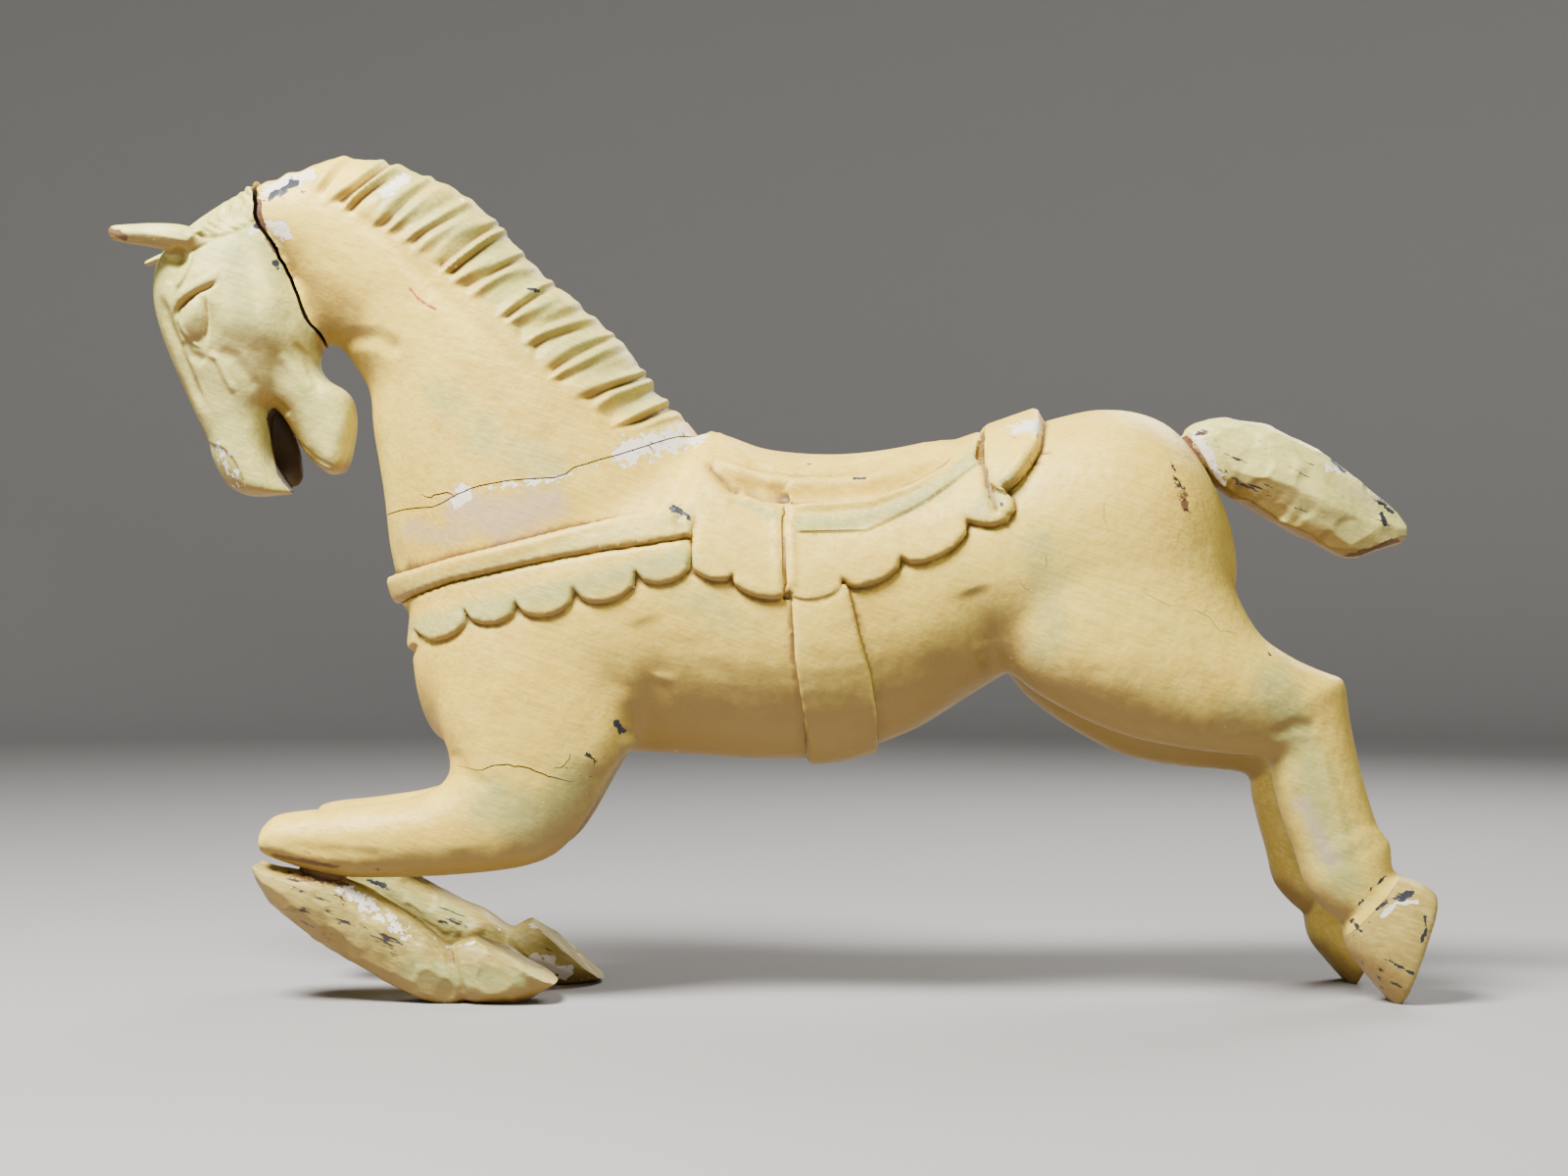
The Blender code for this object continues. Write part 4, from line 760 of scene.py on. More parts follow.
def loft(stations, roundness=SOFT):
    """A closed tube through the stations. A higher roundness makes its section squarer."""
    rows = spline(stations, STEPS_PER_STATION)
    angle = np.arange(RING_POINTS) * 2 * math.pi / RING_POINTS
    cosine = np.sign(np.cos(angle)) * np.abs(np.cos(angle)) ** (2 / roundness)
    sine = np.sign(np.sin(angle)) * np.abs(np.sin(angle)) ** (2 / roundness)
    bm = bmesh.new()
    rings = []
    for first_x, first_z, second_x, second_z, half_width, side in rows:
        middle_x, middle_z = (first_x + second_x) / 2, (first_z + second_z) / 2
        reach_x, reach_z = (first_x - second_x) / 2, (first_z - second_z) / 2
        ring = []
        for c, s in zip(cosine, sine):
            place = (middle_x + reach_x * c, side + half_width * s, middle_z + reach_z * c)
            ring.append(bm.verts.new([value * SQUARE for value in place]))
        rings.append(ring)
    skin(bm, rings)
    bm.faces.new(reversed(rings[0]))
    bm.faces.new(rings[-1])
    return mesh_from(bm)


def prism(outline, span, layers=2):
    """A block with an outline drawn in squares, through the horse from one side to the other."""
    bm = bmesh.new()
    rings = [[bm.verts.new((x * SQUARE, y * SQUARE, z * SQUARE)) for x, z in outline]
             for y in np.linspace(*span, layers)]
    bm.faces.new(rings[0])
    bm.faces.new(rings[-1])
    skin(bm, rings)
    bmesh.ops.triangulate(bm, faces=bm.faces)
    return mesh_from(bm)


def crack_block(outline):
    """A block right through the horse, with points inside its walls for the bare wood of a crack."""
    return prism(outline, WHOLE_SPAN, CRACK_LAYERS)


def blob(middle, radii):
    """An egg-shaped lump, in squares."""
    bm = bmesh.new()
    bmesh.ops.create_icosphere(bm, subdivisions=BLOB_FINENESS, radius=1.0)
    for vert in bm.verts:
        vert.co = [(m + r * c) * SQUARE for m, r, c in zip(middle, radii, vert.co)]
    return mesh_from(bm)


def joined(meshes):
    bm = bmesh.new()
    for mesh in meshes:
        bm.from_mesh(mesh)
        bpy.data.meshes.remove(mesh)
    whole = bpy.data.meshes.new("joined")
    bm.to_mesh(whole)
    bm.free()
    return whole


def with_modifier(mesh, kind, **settings):
    """The mesh after one modifier."""
    obj = bpy.data.objects.new("work", mesh)
    bpy.context.scene.collection.objects.link(obj)
    modifier = obj.modifiers.new("work", kind)
    for name, value in settings.items():
        setattr(modifier, name, value)
    graph = bpy.context.evaluated_depsgraph_get()
    result = bpy.data.meshes.new_from_object(obj.evaluated_get(graph))
    bpy.data.objects.remove(obj)
    bpy.data.meshes.remove(mesh)
    return result


def shaped_by(mesh, tool, operation="DIFFERENCE"):
    """The mesh less the tool, or their common part. The tool is used up."""
    other = bpy.data.objects.new("tool", tool)
    bpy.context.scene.collection.objects.link(other)
    result = with_modifier(mesh, "BOOLEAN", operation=operation, solver="MANIFOLD", object=other)
    bpy.data.objects.remove(other)
    bpy.data.meshes.remove(tool)
    if not len(result.polygons):
        raise RuntimeError("a cut left nothing of its block")
    return result


def points_of(mesh):
    co = np.empty(len(mesh.vertices) * 3, np.float32)
    mesh.vertices.foreach_get("co", co)
    return co.reshape(-1, 3).astype(float)


def set_points(mesh, co):
    mesh.vertices.foreach_set("co", co.astype(np.float32).ravel())
    mesh.update()


def shift(mesh, distance):
    """Moves the mesh along the horse."""
    co = points_of(mesh)
    co[:, 0] += distance
    set_points(mesh, co)


def normals_of(mesh):
    normals = np.empty(len(mesh.vertices) * 3, np.float32)
    mesh.vertex_normals.foreach_get("vector", normals)
    return normals.reshape(-1, 3).astype(float)


def raise_surface(mesh, height):
    """Moves each point out along its normal by its own height, or in where that is negative."""
    set_points(mesh, points_of(mesh) + normals_of(mesh) * height[:, None])


def turned_to_side(mesh, edge_on=STROKE_EDGE_ON, turned=STROKE_TURNED):
    """How far the surface faces either side at each point, from 0 to 1."""
    return smooth_step(np.abs(normals_of(mesh)[:, 1]), edge_on, turned)


def links_of(mesh):
    """Both ends of every edge, and how many edges meet at each point."""
    ends = np.empty(len(mesh.edges) * 2, np.int32)
    mesh.edges.foreach_get("vertices", ends)
    a, b = ends.reshape(-1, 2).T
    return a, b, np.bincount(np.concatenate([a, b]), minlength=len(mesh.vertices))


def averaged(values, links):
    """The mean of each point's neighbours."""
    a, b, count = links
    columns = values if values.ndim == 2 else values[:, None]
    total = np.stack(
        [np.bincount(a, col[b], len(col)) + np.bincount(b, col[a], len(col)) for col in columns.T], axis=1
    )
    total /= count[:, None]
    return total if values.ndim == 2 else total[:, 0]


def relax(mesh, rounds, weight=0.5):
    """Moves each point towards the mean of its neighbours. weight may be one number or one for each point."""
    co = points_of(mesh)
    links = links_of(mesh)
    amount = np.broadcast_to(np.asarray(weight, float), (len(co),))[:, None]
    for _ in range(rounds):
        co += (averaged(co, links) - co) * amount
    set_points(mesh, co)


def remeshed(mesh, voxel, rounds):
    mesh = with_modifier(mesh, "REMESH", mode="VOXEL", voxel_size=voxel)
    relax(mesh, rounds)
    return mesh


def smooth_step(value, low, high):
    t = np.clip((value - low) / (high - low), 0, 1)
    return t * t * (3 - 2 * t)


def nearest_on_path(x, z, path):
    """The distance of each point to a run of straight segments, and its place along the run, from 0 to 1."""
    best = np.full(len(x), np.inf)
    along = np.zeros(len(x))
    travelled = 0.0
    for (ax, az), (bx, bz) in zip(path, path[1:]):
        dx, dz = bx - ax, bz - az
        length = math.hypot(dx, dz)
        t = np.clip(((x - ax) * dx + (z - az) * dz) / length**2, 0, 1)
        distance = np.hypot(x - ax - t * dx, z - az - t * dz)
        nearer = distance < best
        best[nearer] = distance[nearer]
        along[nearer] = travelled + t[nearer] * length
        travelled += length
    return best, along / travelled


def distance_to_path(x, z, path):
    """The distance of each point to a run of straight segments, or to one place."""
    if len(path) == 1:
        return np.hypot(x - path[0][0], z - path[0][1])
    return nearest_on_path(x, z, path)[0]


def inside(x, z, polygon):
    found = np.zeros(len(x), bool)
    for (ax, az), (bx, bz) in zip(polygon, polygon[1:] + polygon[:1]):
        if az != bz:
            crosses = (az > z) != (bz > z)
            found ^= crosses & (x < (bx - ax) * (z - az) / (bz - az) + ax)
    return found


def within(x, z, path, reach):
    """Which points lie in the upright box around a run of places, with some reach."""
    corners = np.array(path)
    low, high = corners.min(axis=0) - reach, corners.max(axis=0) + reach
    return (x > low[0]) & (x < high[0]) & (z > low[1]) & (z < high[1])


def signed_depth(x, z, polygon):
    """How deep inside the outline each point lies, negative outside, and far outside where it isn't near."""
    near = within(x, z, polygon, DEPTH_REACH)
    depth = np.full(len(x), -2.0 * DEPTH_REACH)
    distance = distance_to_path(x[near], z[near], polygon + polygon[:1])
    depth[near] = np.where(inside(x[near], z[near], polygon), distance, -distance)
    return depth


def scallops(cusps, sag, steps=STEPS_PER_SCALLOP):
    """Round lobes hung between neighbouring cusps, bulging to the right of the direction of travel."""
    points = []
    for (ax, az), (bx, bz) in zip(cusps, cusps[1:]):
        dx, dz = bx - ax, bz - az
        length = math.hypot(dx, dz)
        for i in range(steps):
            t = i / steps
            bulge = sag * math.sqrt(max(0.0, 4 * t * (1 - t))) * length
            points.append((ax + dx * t + dz / length * bulge, az + dz * t - dx / length * bulge))
    points.append(cusps[-1])
    return points


def seen_past(co, away):
    """Where each point shows on the drawing when it lies some metres beyond the middle plane."""
    spread = EYE_DISTANCE / (EYE_DISTANCE + away / SQUARE)
    return co[:, 0] / SQUARE * spread, EYE_HEIGHT + (co[:, 2] / SQUARE - EYE_HEIGHT) * spread


def as_drawn(co):
    """Where each point shows on the drawing of its own side."""
    return seen_past(co, -np.abs(co[:, 1]))


def as_seen(co):
    """Where each point shows from the near side, also through what stands before it."""
    return seen_past(co, co[:, 1])


def gather(mesh, outline, voxel):
    """Draws the points beside an outline in to both sides of it, so that a carved edge runs true."""
    co = points_of(mesh)
    normals = normals_of(mesh)
    x, z = as_drawn(co)
    reach = GATHER_CELLS * voxel / SQUARE
    depth = signed_depth(x, z, outline)
    near = np.flatnonzero(np.abs(depth) < reach)
    x, z, depth, normals = x[near], z[near], depth[near], normals[near]
    step = GATHER_STEP
    slope_x = (signed_depth(x + step, z, outline) - signed_depth(x - step, z, outline)) / (2 * step)
    slope_z = (signed_depth(x, z + step, outline) - signed_depth(x, z - step, outline)) / (2 * step)
    length = np.maximum(np.hypot(slope_x, slope_z), 0.5)
    edge = GATHER_EDGE * reach
    wanted = np.sign(depth) * (edge + (reach - edge) * (np.abs(depth) / reach) ** GATHER_POWER)
    facing = np.abs(normals[:, 1])
    move = (wanted - depth) * SQUARE * smooth_step(facing, EDGE_ON, TURNED)
    move_x, move_z = move * slope_x / length, move * slope_z / length
    safe = np.where(facing > EDGE_ON, normals[:, 1], np.inf)
    move_y = -(normals[:, 0] * move_x + normals[:, 2] * move_z) / safe
    co[near] += np.stack([move_x, np.clip(move_y, -voxel, voxel), move_z], axis=1)
    set_points(mesh, co)


def flattened(mesh):
    """Cuts off what lies below the floor and closes the cut with a flat face."""
    bm = bmesh.new()
    bm.from_mesh(mesh)
    cut = bmesh.ops.bisect_plane(
        bm, geom=bm.verts[:] + bm.edges[:] + bm.faces[:], plane_co=(0, 0, 0), plane_no=(0, 0, -1),
        clear_outer=True)
    rim = [item for item in cut["geom_cut"] if isinstance(item, bmesh.types.BMEdge)]
    if rim:
        bmesh.ops.contextual_create(bm, geom=rim)
    bmesh.ops.triangulate(bm, faces=bm.faces)
    bm.to_mesh(mesh)
    bm.free()
    return mesh


def thinned(mesh, triangles):
    mesh = with_modifier(mesh, "TRIANGULATE")
    if len(mesh.polygons) <= triangles:
        return mesh
    return with_modifier(mesh, "DECIMATE", decimate_type="COLLAPSE", ratio=triangles / len(mesh.polygons))


def inflated(mesh, amount):
    """A copy whose surface stands proud by the amount."""
    copy = mesh.copy()
    set_points(copy, points_of(copy) + normals_of(copy) * amount)
    return copy


def box_between(low, high):
    """A plain block between two corners, in squares."""
    (ax, ay, az), (bx, by, bz) = low, high
    return prism([(ax, az), (bx, az), (bx, bz), (ax, bz)], (ay, by))


# Carving


def wall(depth):
    """The height of a raised layer from its edge inwards: a steep wall under a worn corner."""
    return (WALL_SHARE * smooth_step(depth, WALL_FOOT, WALL_CORNER)
            + (1 - WALL_SHARE) * smooth_step(depth, 0.0, WORN_CORNER))


def stroke_height(x, z, strokes):
    """How far the strokes of a gouge raise or sink each point."""
    height = np.zeros(len(x))
    for path, reach, amount in strokes:
        near = within(x, z, path, reach)
        if len(path) == 1:
            distance, ends = distance_to_path(x[near], z[near], path), 1.0
        else:
            distance, along = nearest_on_path(x[near], z[near], path)
            ends = smooth_step(np.minimum(along, 1 - along), STROKE_START, STROKE_TAPER)
        height[near] += amount * ends * (1 - smooth_step(distance / reach, 0.0, 1.0))
    return height


def carve_strokes(mesh, strokes):
    """Works strokes into both sides of the block."""
    raise_surface(mesh, stroke_height(*as_drawn(points_of(mesh)), strokes) * turned_to_side(mesh))


def seat_side(depth):
    """The height of the seat from its top corner down its hollow side."""
    below = np.clip(1 + depth / SEAT_SIDE, 0, 1)
    return SEAT_SLOPE * below + SEAT_HOLLOW * below**SEAT_CURVE


def carve_tack(mesh, sizes):
    """Raises the collar, blanket, seat and girth on the smooth horse."""
    blanket_edge = BLANKET_FRONT + scallops(BLANKET_CUSPS, BLANKET_SAG) + BLANKET_REAR
    collar_edge = COLLAR_TOP + COLLAR_BOTTOM
    fringe_edge = COLLAR_BOTTOM + scallops(COLLAR_CUSPS, COLLAR_SAG)
    for outline in (collar_edge, fringe_edge, GIRTH, SEAT_BAND, SEAT_RIDGE, REAR_BLOCK, FLAP_SLOT,
                    blanket_edge):
        gather(mesh, outline, BODY_VOXEL)
    x, z = as_drawn(points_of(mesh))
    blanket, seat_band, girth, collar, fringe, block = [
        wall(signed_depth(x, z, outline))
        for outline in (blanket_edge, SEAT_BAND, GIRTH, collar_edge, fringe_edge, REAR_BLOCK)
    ]
    front = distance_to_path(x, z, BLANKET_FRONT[:2])
    fade = np.where(z > BLANKET_FRONT[1][1], smooth_step(front, 0.0, FRONT_FADE), 1.0)
    seat = seat_side(signed_depth(x, z, SEAT_RIDGE)) * blanket
    raised = np.maximum(np.maximum(sizes.seat * seat, sizes.band * seat_band), sizes.block * block * blanket)
    saddle = sizes.cloth * blanket * fade + raised
    straps = np.maximum(sizes.collar * collar, sizes.fringe * fringe) + sizes.girth * girth
    slot = wall(signed_depth(x, z, FLAP_SLOT))
    under_blanket, under_fringe = [
        np.exp(-((signed_depth(x, z, outline) + UNDERCUT_PLACE) / UNDERCUT_WIDTH) ** 2)
        for outline in (blanket_edge, fringe_edge)
    ]
    undercut = UNDERCUT * (under_blanket * smooth_step(-z, *UNDERCUT_HEIGHTS) + under_fringe)
    sunk = sizes.slot * slot
    raise_surface(mesh, saddle + (1 - blanket) * straps - sunk - undercut * (1 - np.maximum(blanket, collar)))


def lock_profile(phase):
    """The height across one lock: up from the cut under its neighbour to its crest and steeply down again."""
    share = phase - np.floor(phase)
    rise = smooth_step(share, 0.0, LOCK_CREST) ** LOCK_EASE
    fall = 1 - smooth_step(share, LOCK_CREST, 1.0)
    return np.where(share < LOCK_CREST, rise, fall)


def mane_field(x, z, sizes):
    """How far the mane is raised sideways, and how far it is cut in between its locks."""
    distance = distance_to_path(x, z, MANE_EDGE)
    above = np.where(inside(x, z, MANE_EDGE + MANE_BEYOND), distance, -distance)
    fan = np.arctan2(z - MANE_PIVOT[1], x - MANE_PIVOT[0]) * MANE_REACH * SQUARE / sizes.lock_pitch
    up = np.clip(above / MANE_WIDTH, 0, MOST_UP)
    # Waves of different lengths, so that no two locks are alike in place, end or depth
    wander = LOCK_WANDER * (
        np.sin(2.1 * fan) + np.sin(3.7 * fan + 1.0) + 0.8 * np.sin(0.55 * above + 1.9 * fan))
    profile = lock_profile(-(fan + LOCK_BEND * up**2 + wander))
    strand = lock_profile(-STRANDS * (fan + LOCK_BEND * up**2) + STRAND_LEAN * above)
    end = LOCK_END * (1 - profile) + LOCK_END_WAVE * np.sin(5.3 * fan)
    mask = smooth_step(above, LOCK_START + end, LOCK_FULL + end)
    to_crest = 1 - (1 - CREST_SHARE) * smooth_step(up, 0.3, 1.0)
    depth = sizes.lock_depth * (0.75 + 0.25 * np.sin(1.3 * fan)) * to_crest
    cut = depth * (1 - profile) + STRAND_SHARE * depth * (1 - strand) * smooth_step(up, 0.05, 0.3)
    thick = sizes.mane * (LOCK_LOW + LOCK_RISE * profile) * mask
    return thick, cut * smooth_step(above, CUT_START + end, CUT_FULL + end)


def carve_mane(mesh, sizes):
    """Raises the mane and cuts its locks, thinner over the poll than along the neck."""
    co = points_of(mesh)
    thick, cut = mane_field(*as_drawn(co), sizes)
    fullness = 1 - (1 - FORELOCK_SHARE) * smooth_step(-co[:, 0] / SQUARE, FORELOCK_START, FORELOCK_END)
    raise_surface(mesh, fullness * (thick * np.abs(normals_of(mesh)[:, 1]) - cut))


def carve_poll(mesh):
    """Works the short hair between the ears into rows of knobs."""
    x, z = as_drawn(points_of(mesh))
    (ax, az), (bx, bz) = POLL_START, POLL_END
    length = math.hypot(bx - ax, bz - az)
    along = ((x - ax) * (bx - ax) + (z - az) * (bz - az)) / length
    across = ((z - az) * (bx - ax) - (x - ax) * (bz - az)) / length
    knobs = np.abs(np.sin(math.pi * (along / KNOB_PITCH + 0.35 * np.sin(1.6 * across + along))))
    rows = 0.6 + 0.4 * np.cos(2.4 * across + 0.8 * np.sin(1.7 * along))
    mask = smooth_step(signed_depth(x, z, POLL), -0.1, 0.7)
    raise_surface(mesh, KNOB_DEPTH * mask * (0.45 + 1.1 * (knobs**0.7 * rows - 0.5)))


def carve_head(mesh):
    """Models the cheeks, sockets, eyes, brows, nostrils, lips and ears."""
    carve_strokes(mesh, [CHEEK, EYE_SOCKET])
    gather(mesh, NOSTRIL, HEAD_VOXEL)
    x, z = as_drawn(points_of(mesh))
    path, (radius_x, radius_z), height = EYEBALL
    share = np.hypot((x - path[0][0]) / radius_x, (z - path[0][1]) / radius_z)
    ball = height * np.clip(1 - share**2, 0, 1) ** EYE_ROUND
    nostril = NOSTRIL_DEPTH * wall(signed_depth(x, z, NOSTRIL))
    raise_surface(mesh, (ball - nostril) * turned_to_side(mesh))
    carve_strokes(mesh, HEAD_STROKES)


def whittle(mesh, cuts, depth, reach, seed):
    """Takes flat shavings off the rounded places, so that the knife's facets show."""
    co = points_of(mesh)
    normals = normals_of(mesh)
    random = np.random.RandomState(seed)
    for i in random.randint(0, len(co), cuts):
        lean = random.uniform(-WHITTLE_LEAN, WHITTLE_LEAN, 3)
        facing = (normals[i] + lean) / np.linalg.norm(normals[i] + lean)
        over = (co - co[i]) @ facing + depth * random.uniform(0.5, 1.2)
        distance = np.linalg.norm(co - co[i], axis=1)
        near = (over > 0) & (distance < reach)
        if over[near].max() < WHITTLE_MOST * depth:
            fade = 1 - smooth_step(distance[near], WHITTLE_FLAT * reach, reach)
            co[near] -= (over[near] * fade)[:, None] * facing
    set_points(mesh, co)


def far_forearm():
    """The near forearm mirrored, with its knee drawn further back."""
    last = len(NEAR_FOREARM) - 1
    stations = []
    for i, (ax, az, bx, bz, half, side) in enumerate(NEAR_FOREARM):
        back = FAR_KNEE_SHIFT * (i / last) ** 3
        stations.append((ax + back, az, bx + back, bz, half, -side))
    return stations


def blend_joints(mesh):
    """Rounds the hollows where the legs and the neck grow out of the trunk."""
    co = points_of(mesh) / SQUARE
    weight = np.zeros(len(co))
    for x, z, radius in BLENDS:
        reach = np.hypot(co[:, 0] - x, co[:, 2] - z) / radius
        weight = np.maximum(weight, BLEND_WEIGHT * (1 - smooth_step(reach, BLEND_CORE, 1.0)))
    relax(mesh, BLEND_ROUNDS, weight)


def smooth_horse():
    """Trunk, neck, head and upper legs in one, before any fine carving."""
    parts = [
        loft(TORSO), loft(NECK, ROUND), loft(SKULL, FULL), loft(LOWER_JAW, FULL), loft(NEAR_EAR),
        loft(FAR_EAR), loft(NEAR_HIND), loft(FAR_HIND), loft(NEAR_FOREARM), loft(far_forearm()),
        loft(NEAR_HIND_HOOF, SQUARISH), loft(FAR_HIND_HOOF, SQUARISH),
    ]
    mesh = remeshed(joined(parts), ROUGH_VOXEL, SMOOTH_ROUNDS)
    blend_joints(mesh)
    return mesh


def beside(path, offset):
    """The path moved sideways, to the left of its direction of travel."""
    p = np.array(path, float)
    run = np.gradient(p, axis=0)
    across = np.stack([-run[:, 1], run[:, 0]], axis=1) / np.linalg.norm(run, axis=1)[:, None]
    return [tuple(row) for row in p + across * np.broadcast_to(offset, (len(p),))[:, None]]


def ragged(path, steps, amount, seed):
    """The path in short pieces that wander off it like a break in wood."""
    fine = spline(path, steps)
    random = np.random.RandomState(seed)
    wander = random.uniform(-amount, amount, fine.shape)
    wander[0] = wander[-1] = 0
    return [tuple(row) for row in fine + wander]


def surface_places(mesh, path, side):
    """Where a run of points on the side drawing lies on one side of the mesh."""
    tree = BVHTree.FromPolygons([v.co for v in mesh.vertices], [tuple(p.vertices) for p in mesh.polygons])
    eye = Vector((0, side * EYE_DISTANCE * SQUARE, EYE_HEIGHT * SQUARE))
    places = []
    for x, z in path:
        target = Vector((x * SQUARE, 0, z * SQUARE))
        place, _, _, _ = tree.ray_cast(eye, (target - eye).normalized())
        if place is not None:
            places.append(place)
    return places


def split_cutter(places, width, depth, side):
    """A thin wedge that follows a run of places on the surface, narrowing to nothing at both ends."""
    bm = bmesh.new()
    rows = []
    last = len(places) - 1
    outward = Vector((0, side, 0))
    for i, place in enumerate(places):
        run = (places[min(i + 1, last)] - places[max(i - 1, 0)]).normalized()
        across = run.cross(outward).normalized()
        half = width / 2 * max(LEAST_SPLIT, abs(math.sin(math.pi * i / last)) ** 0.5)
        rows.append([bm.verts.new(place + outward * out + across * half * share)
                     for out, share in (*SPLIT_SECTION, (-depth, 0.5), (-depth, -0.5))])
    skin(bm, rows)
    bm.faces.new(rows[0][::-1])
    bm.faces.new(rows[-1])
    bmesh.ops.triangulate(bm, faces=bm.faces)
    return mesh_from(bm)


def split_surface(mesh, splits, side, seed):
    """Opens hairline cracks in one side of the block."""
    for i, (path, width, depth) in enumerate(splits):
        places = surface_places(mesh, ragged(path, SPLIT_STEPS, SPLIT_WANDER, seed + i), side)
        if len(places) > 3:
            mesh = shaped_by(mesh, split_cutter(places, width, depth, side))
    return mesh


# Paint: fields worked out on the carved mesh, and the materials that read them
FIELDS = ("dirt_and_shade", "wash", "gesso", "stain", "chip", "red", "flake", "wood", "edge", "under", "along")


def write_field(mesh, name, values):
    layer = mesh.attributes.get(name) or mesh.attributes.new(name, "FLOAT", "POINT")
    layer.data.foreach_set("value", np.asarray(values, np.float32))


def hollowness(mesh, rounds):
    """How hollow the surface is around each point, in metres, over a reach of some rounds of neighbours."""
    co = points_of(mesh)
    links = links_of(mesh)
    smooth = co.copy()
    for _ in range(rounds):
        smooth = averaged(smooth, links)
    return ((smooth - co) * normals_of(mesh)).sum(axis=1)


def along_limb(co, limbs):
    """How far along the nearest limb each point lies, in metres, so that brush strokes follow it."""
    best = np.full(len(co), np.inf)
    along = np.zeros(len(co))
    for stations in limbs:
        p = np.array(middle_line(stations), float) * SQUARE
        travelled = 0.0
        for a, b in zip(p, p[1:]):
            run = b - a
            length = np.linalg.norm(run)
            t = np.clip((co - a) @ run / length**2, 0, 1)
            distance = np.linalg.norm(co - a - t[:, None] * run, axis=1)
            nearer = distance < best
            best[nearer] = distance[nearer]
            along[nearer] = travelled + t[nearer] * length
            travelled += length
    return along


def middle_line(stations):
    return [((ax + bx) / 2, side, (az + bz) / 2) for ax, az, bx, bz, _, side in stations]


def mark_fields(mesh, marks, reach_through):
    """The strength of each kind of mark at each point: washes on both sides, the rest on the near side or
    right through the piece."""
    co = points_of(mesh)
    x, z = as_seen(co) if reach_through else as_drawn(co)
    found = {name: np.zeros(len(co)) for name in FIELDS}
    near = ((co[:, 1] < 0) | reach_through) * turned_to_side(mesh, EDGE_ON, TURNED)
    for kind, reach, strength, path in marks:
        share = distance_to_path(x, z, path) / reach
        amount = strength * (1 - smooth_step(share, 0.0, MARK_FADE)) * (1 if kind == "wash" else near)
        found[kind] = np.maximum(found[kind], amount)
    return found


class Carving:
    """The finished carving before its block is cut: where its surface lies and how hollow it is there."""

    def __init__(self, mesh, cell):
        co = points_of(mesh)
        self.cell = cell
        self.fine, self.broad = hollowness(mesh, FINE_ROUNDS), hollowness(mesh, BROAD_ROUNDS)
        self.under = -normals_of(mesh)[:, 2]
        self.tree = KDTree(len(co))
        for i, place in enumerate(co):
            self.tree.insert(place, i)
        self.tree.balance()

    def at(self, co):
        """Hollowness near and far, how far the surface faces down, and how far below it each point lies."""
        found = [self.tree.find(place) for place in co]
        nearest = np.array([index for _, index, _ in found])
        depth = np.array([distance for _, _, distance in found])
        return self.fine[nearest], self.broad[nearest], self.under[nearest], depth


def paint_fields(mesh, carving, limbs, marks, wash, flake=0.0, reach_through=False):
    """Writes every field that the aged paint reads."""
    co = points_of(mesh)
    fields = mark_fields(mesh, marks, reach_through)
    fields["wash"] = np.maximum(fields["wash"], wash)
    fields["flake"] = np.maximum(fields["flake"], flake)
    fine, broad, under, depth = carving.at(co)
    # Dirt and painted shade in the hollows, from how hollow the carved surface is
    fields["dirt_and_shade"] = (FINE_DIRT_AND_SHADE * smooth_step(fine, *FINE_HOLLOW)
                      + BROAD_DIRT_AND_SHADE * smooth_step(broad, *BROAD_HOLLOW))
    # Painted shade and dirt inside the mouth, behind the near lip
    in_mouth = inside(*as_seen(co), MOUTH) & (co[:, 1] > MOUTH_NEAR * SQUARE)
    fields["dirt_and_shade"][in_mouth] = MOUTH_DIRT_AND_SHADE
    fields["edge"] = smooth_step(-fine, *RIDGE)
    # Painted shade: the more the surface faces down, the darker it is painted
    fields["under"] = smooth_step(under, *FACING_DOWN)
    bare, dirty = [smooth_step(depth, low * carving.cell, high * carving.cell)
                   for low, high in (BARE_CELLS, DIRTY_CELLS)]
    fields["wood"] = np.maximum(fields["wood"], bare)
    fields["dirt_and_shade"] = np.maximum(fields["dirt_and_shade"], DEEP_DIRT * dirty)
    fields["along"] = along_limb(co, limbs)
    for name, values in fields.items():
        write_field(mesh, name, values)


def place_node(tree, kind, settings=None, **inputs):
    node = tree.nodes.new(kind)
    for name, value in (settings or {}).items():
        setattr(node, name, value)
    for name, value in inputs.items():
        socket = node.inputs[int(name[1:]) if name[0] == "_" else name.replace("_", " ")]
        if isinstance(value, bpy.types.NodeSocket):
            tree.links.new(value, socket)
        else:
            socket.default_value = value
    return node


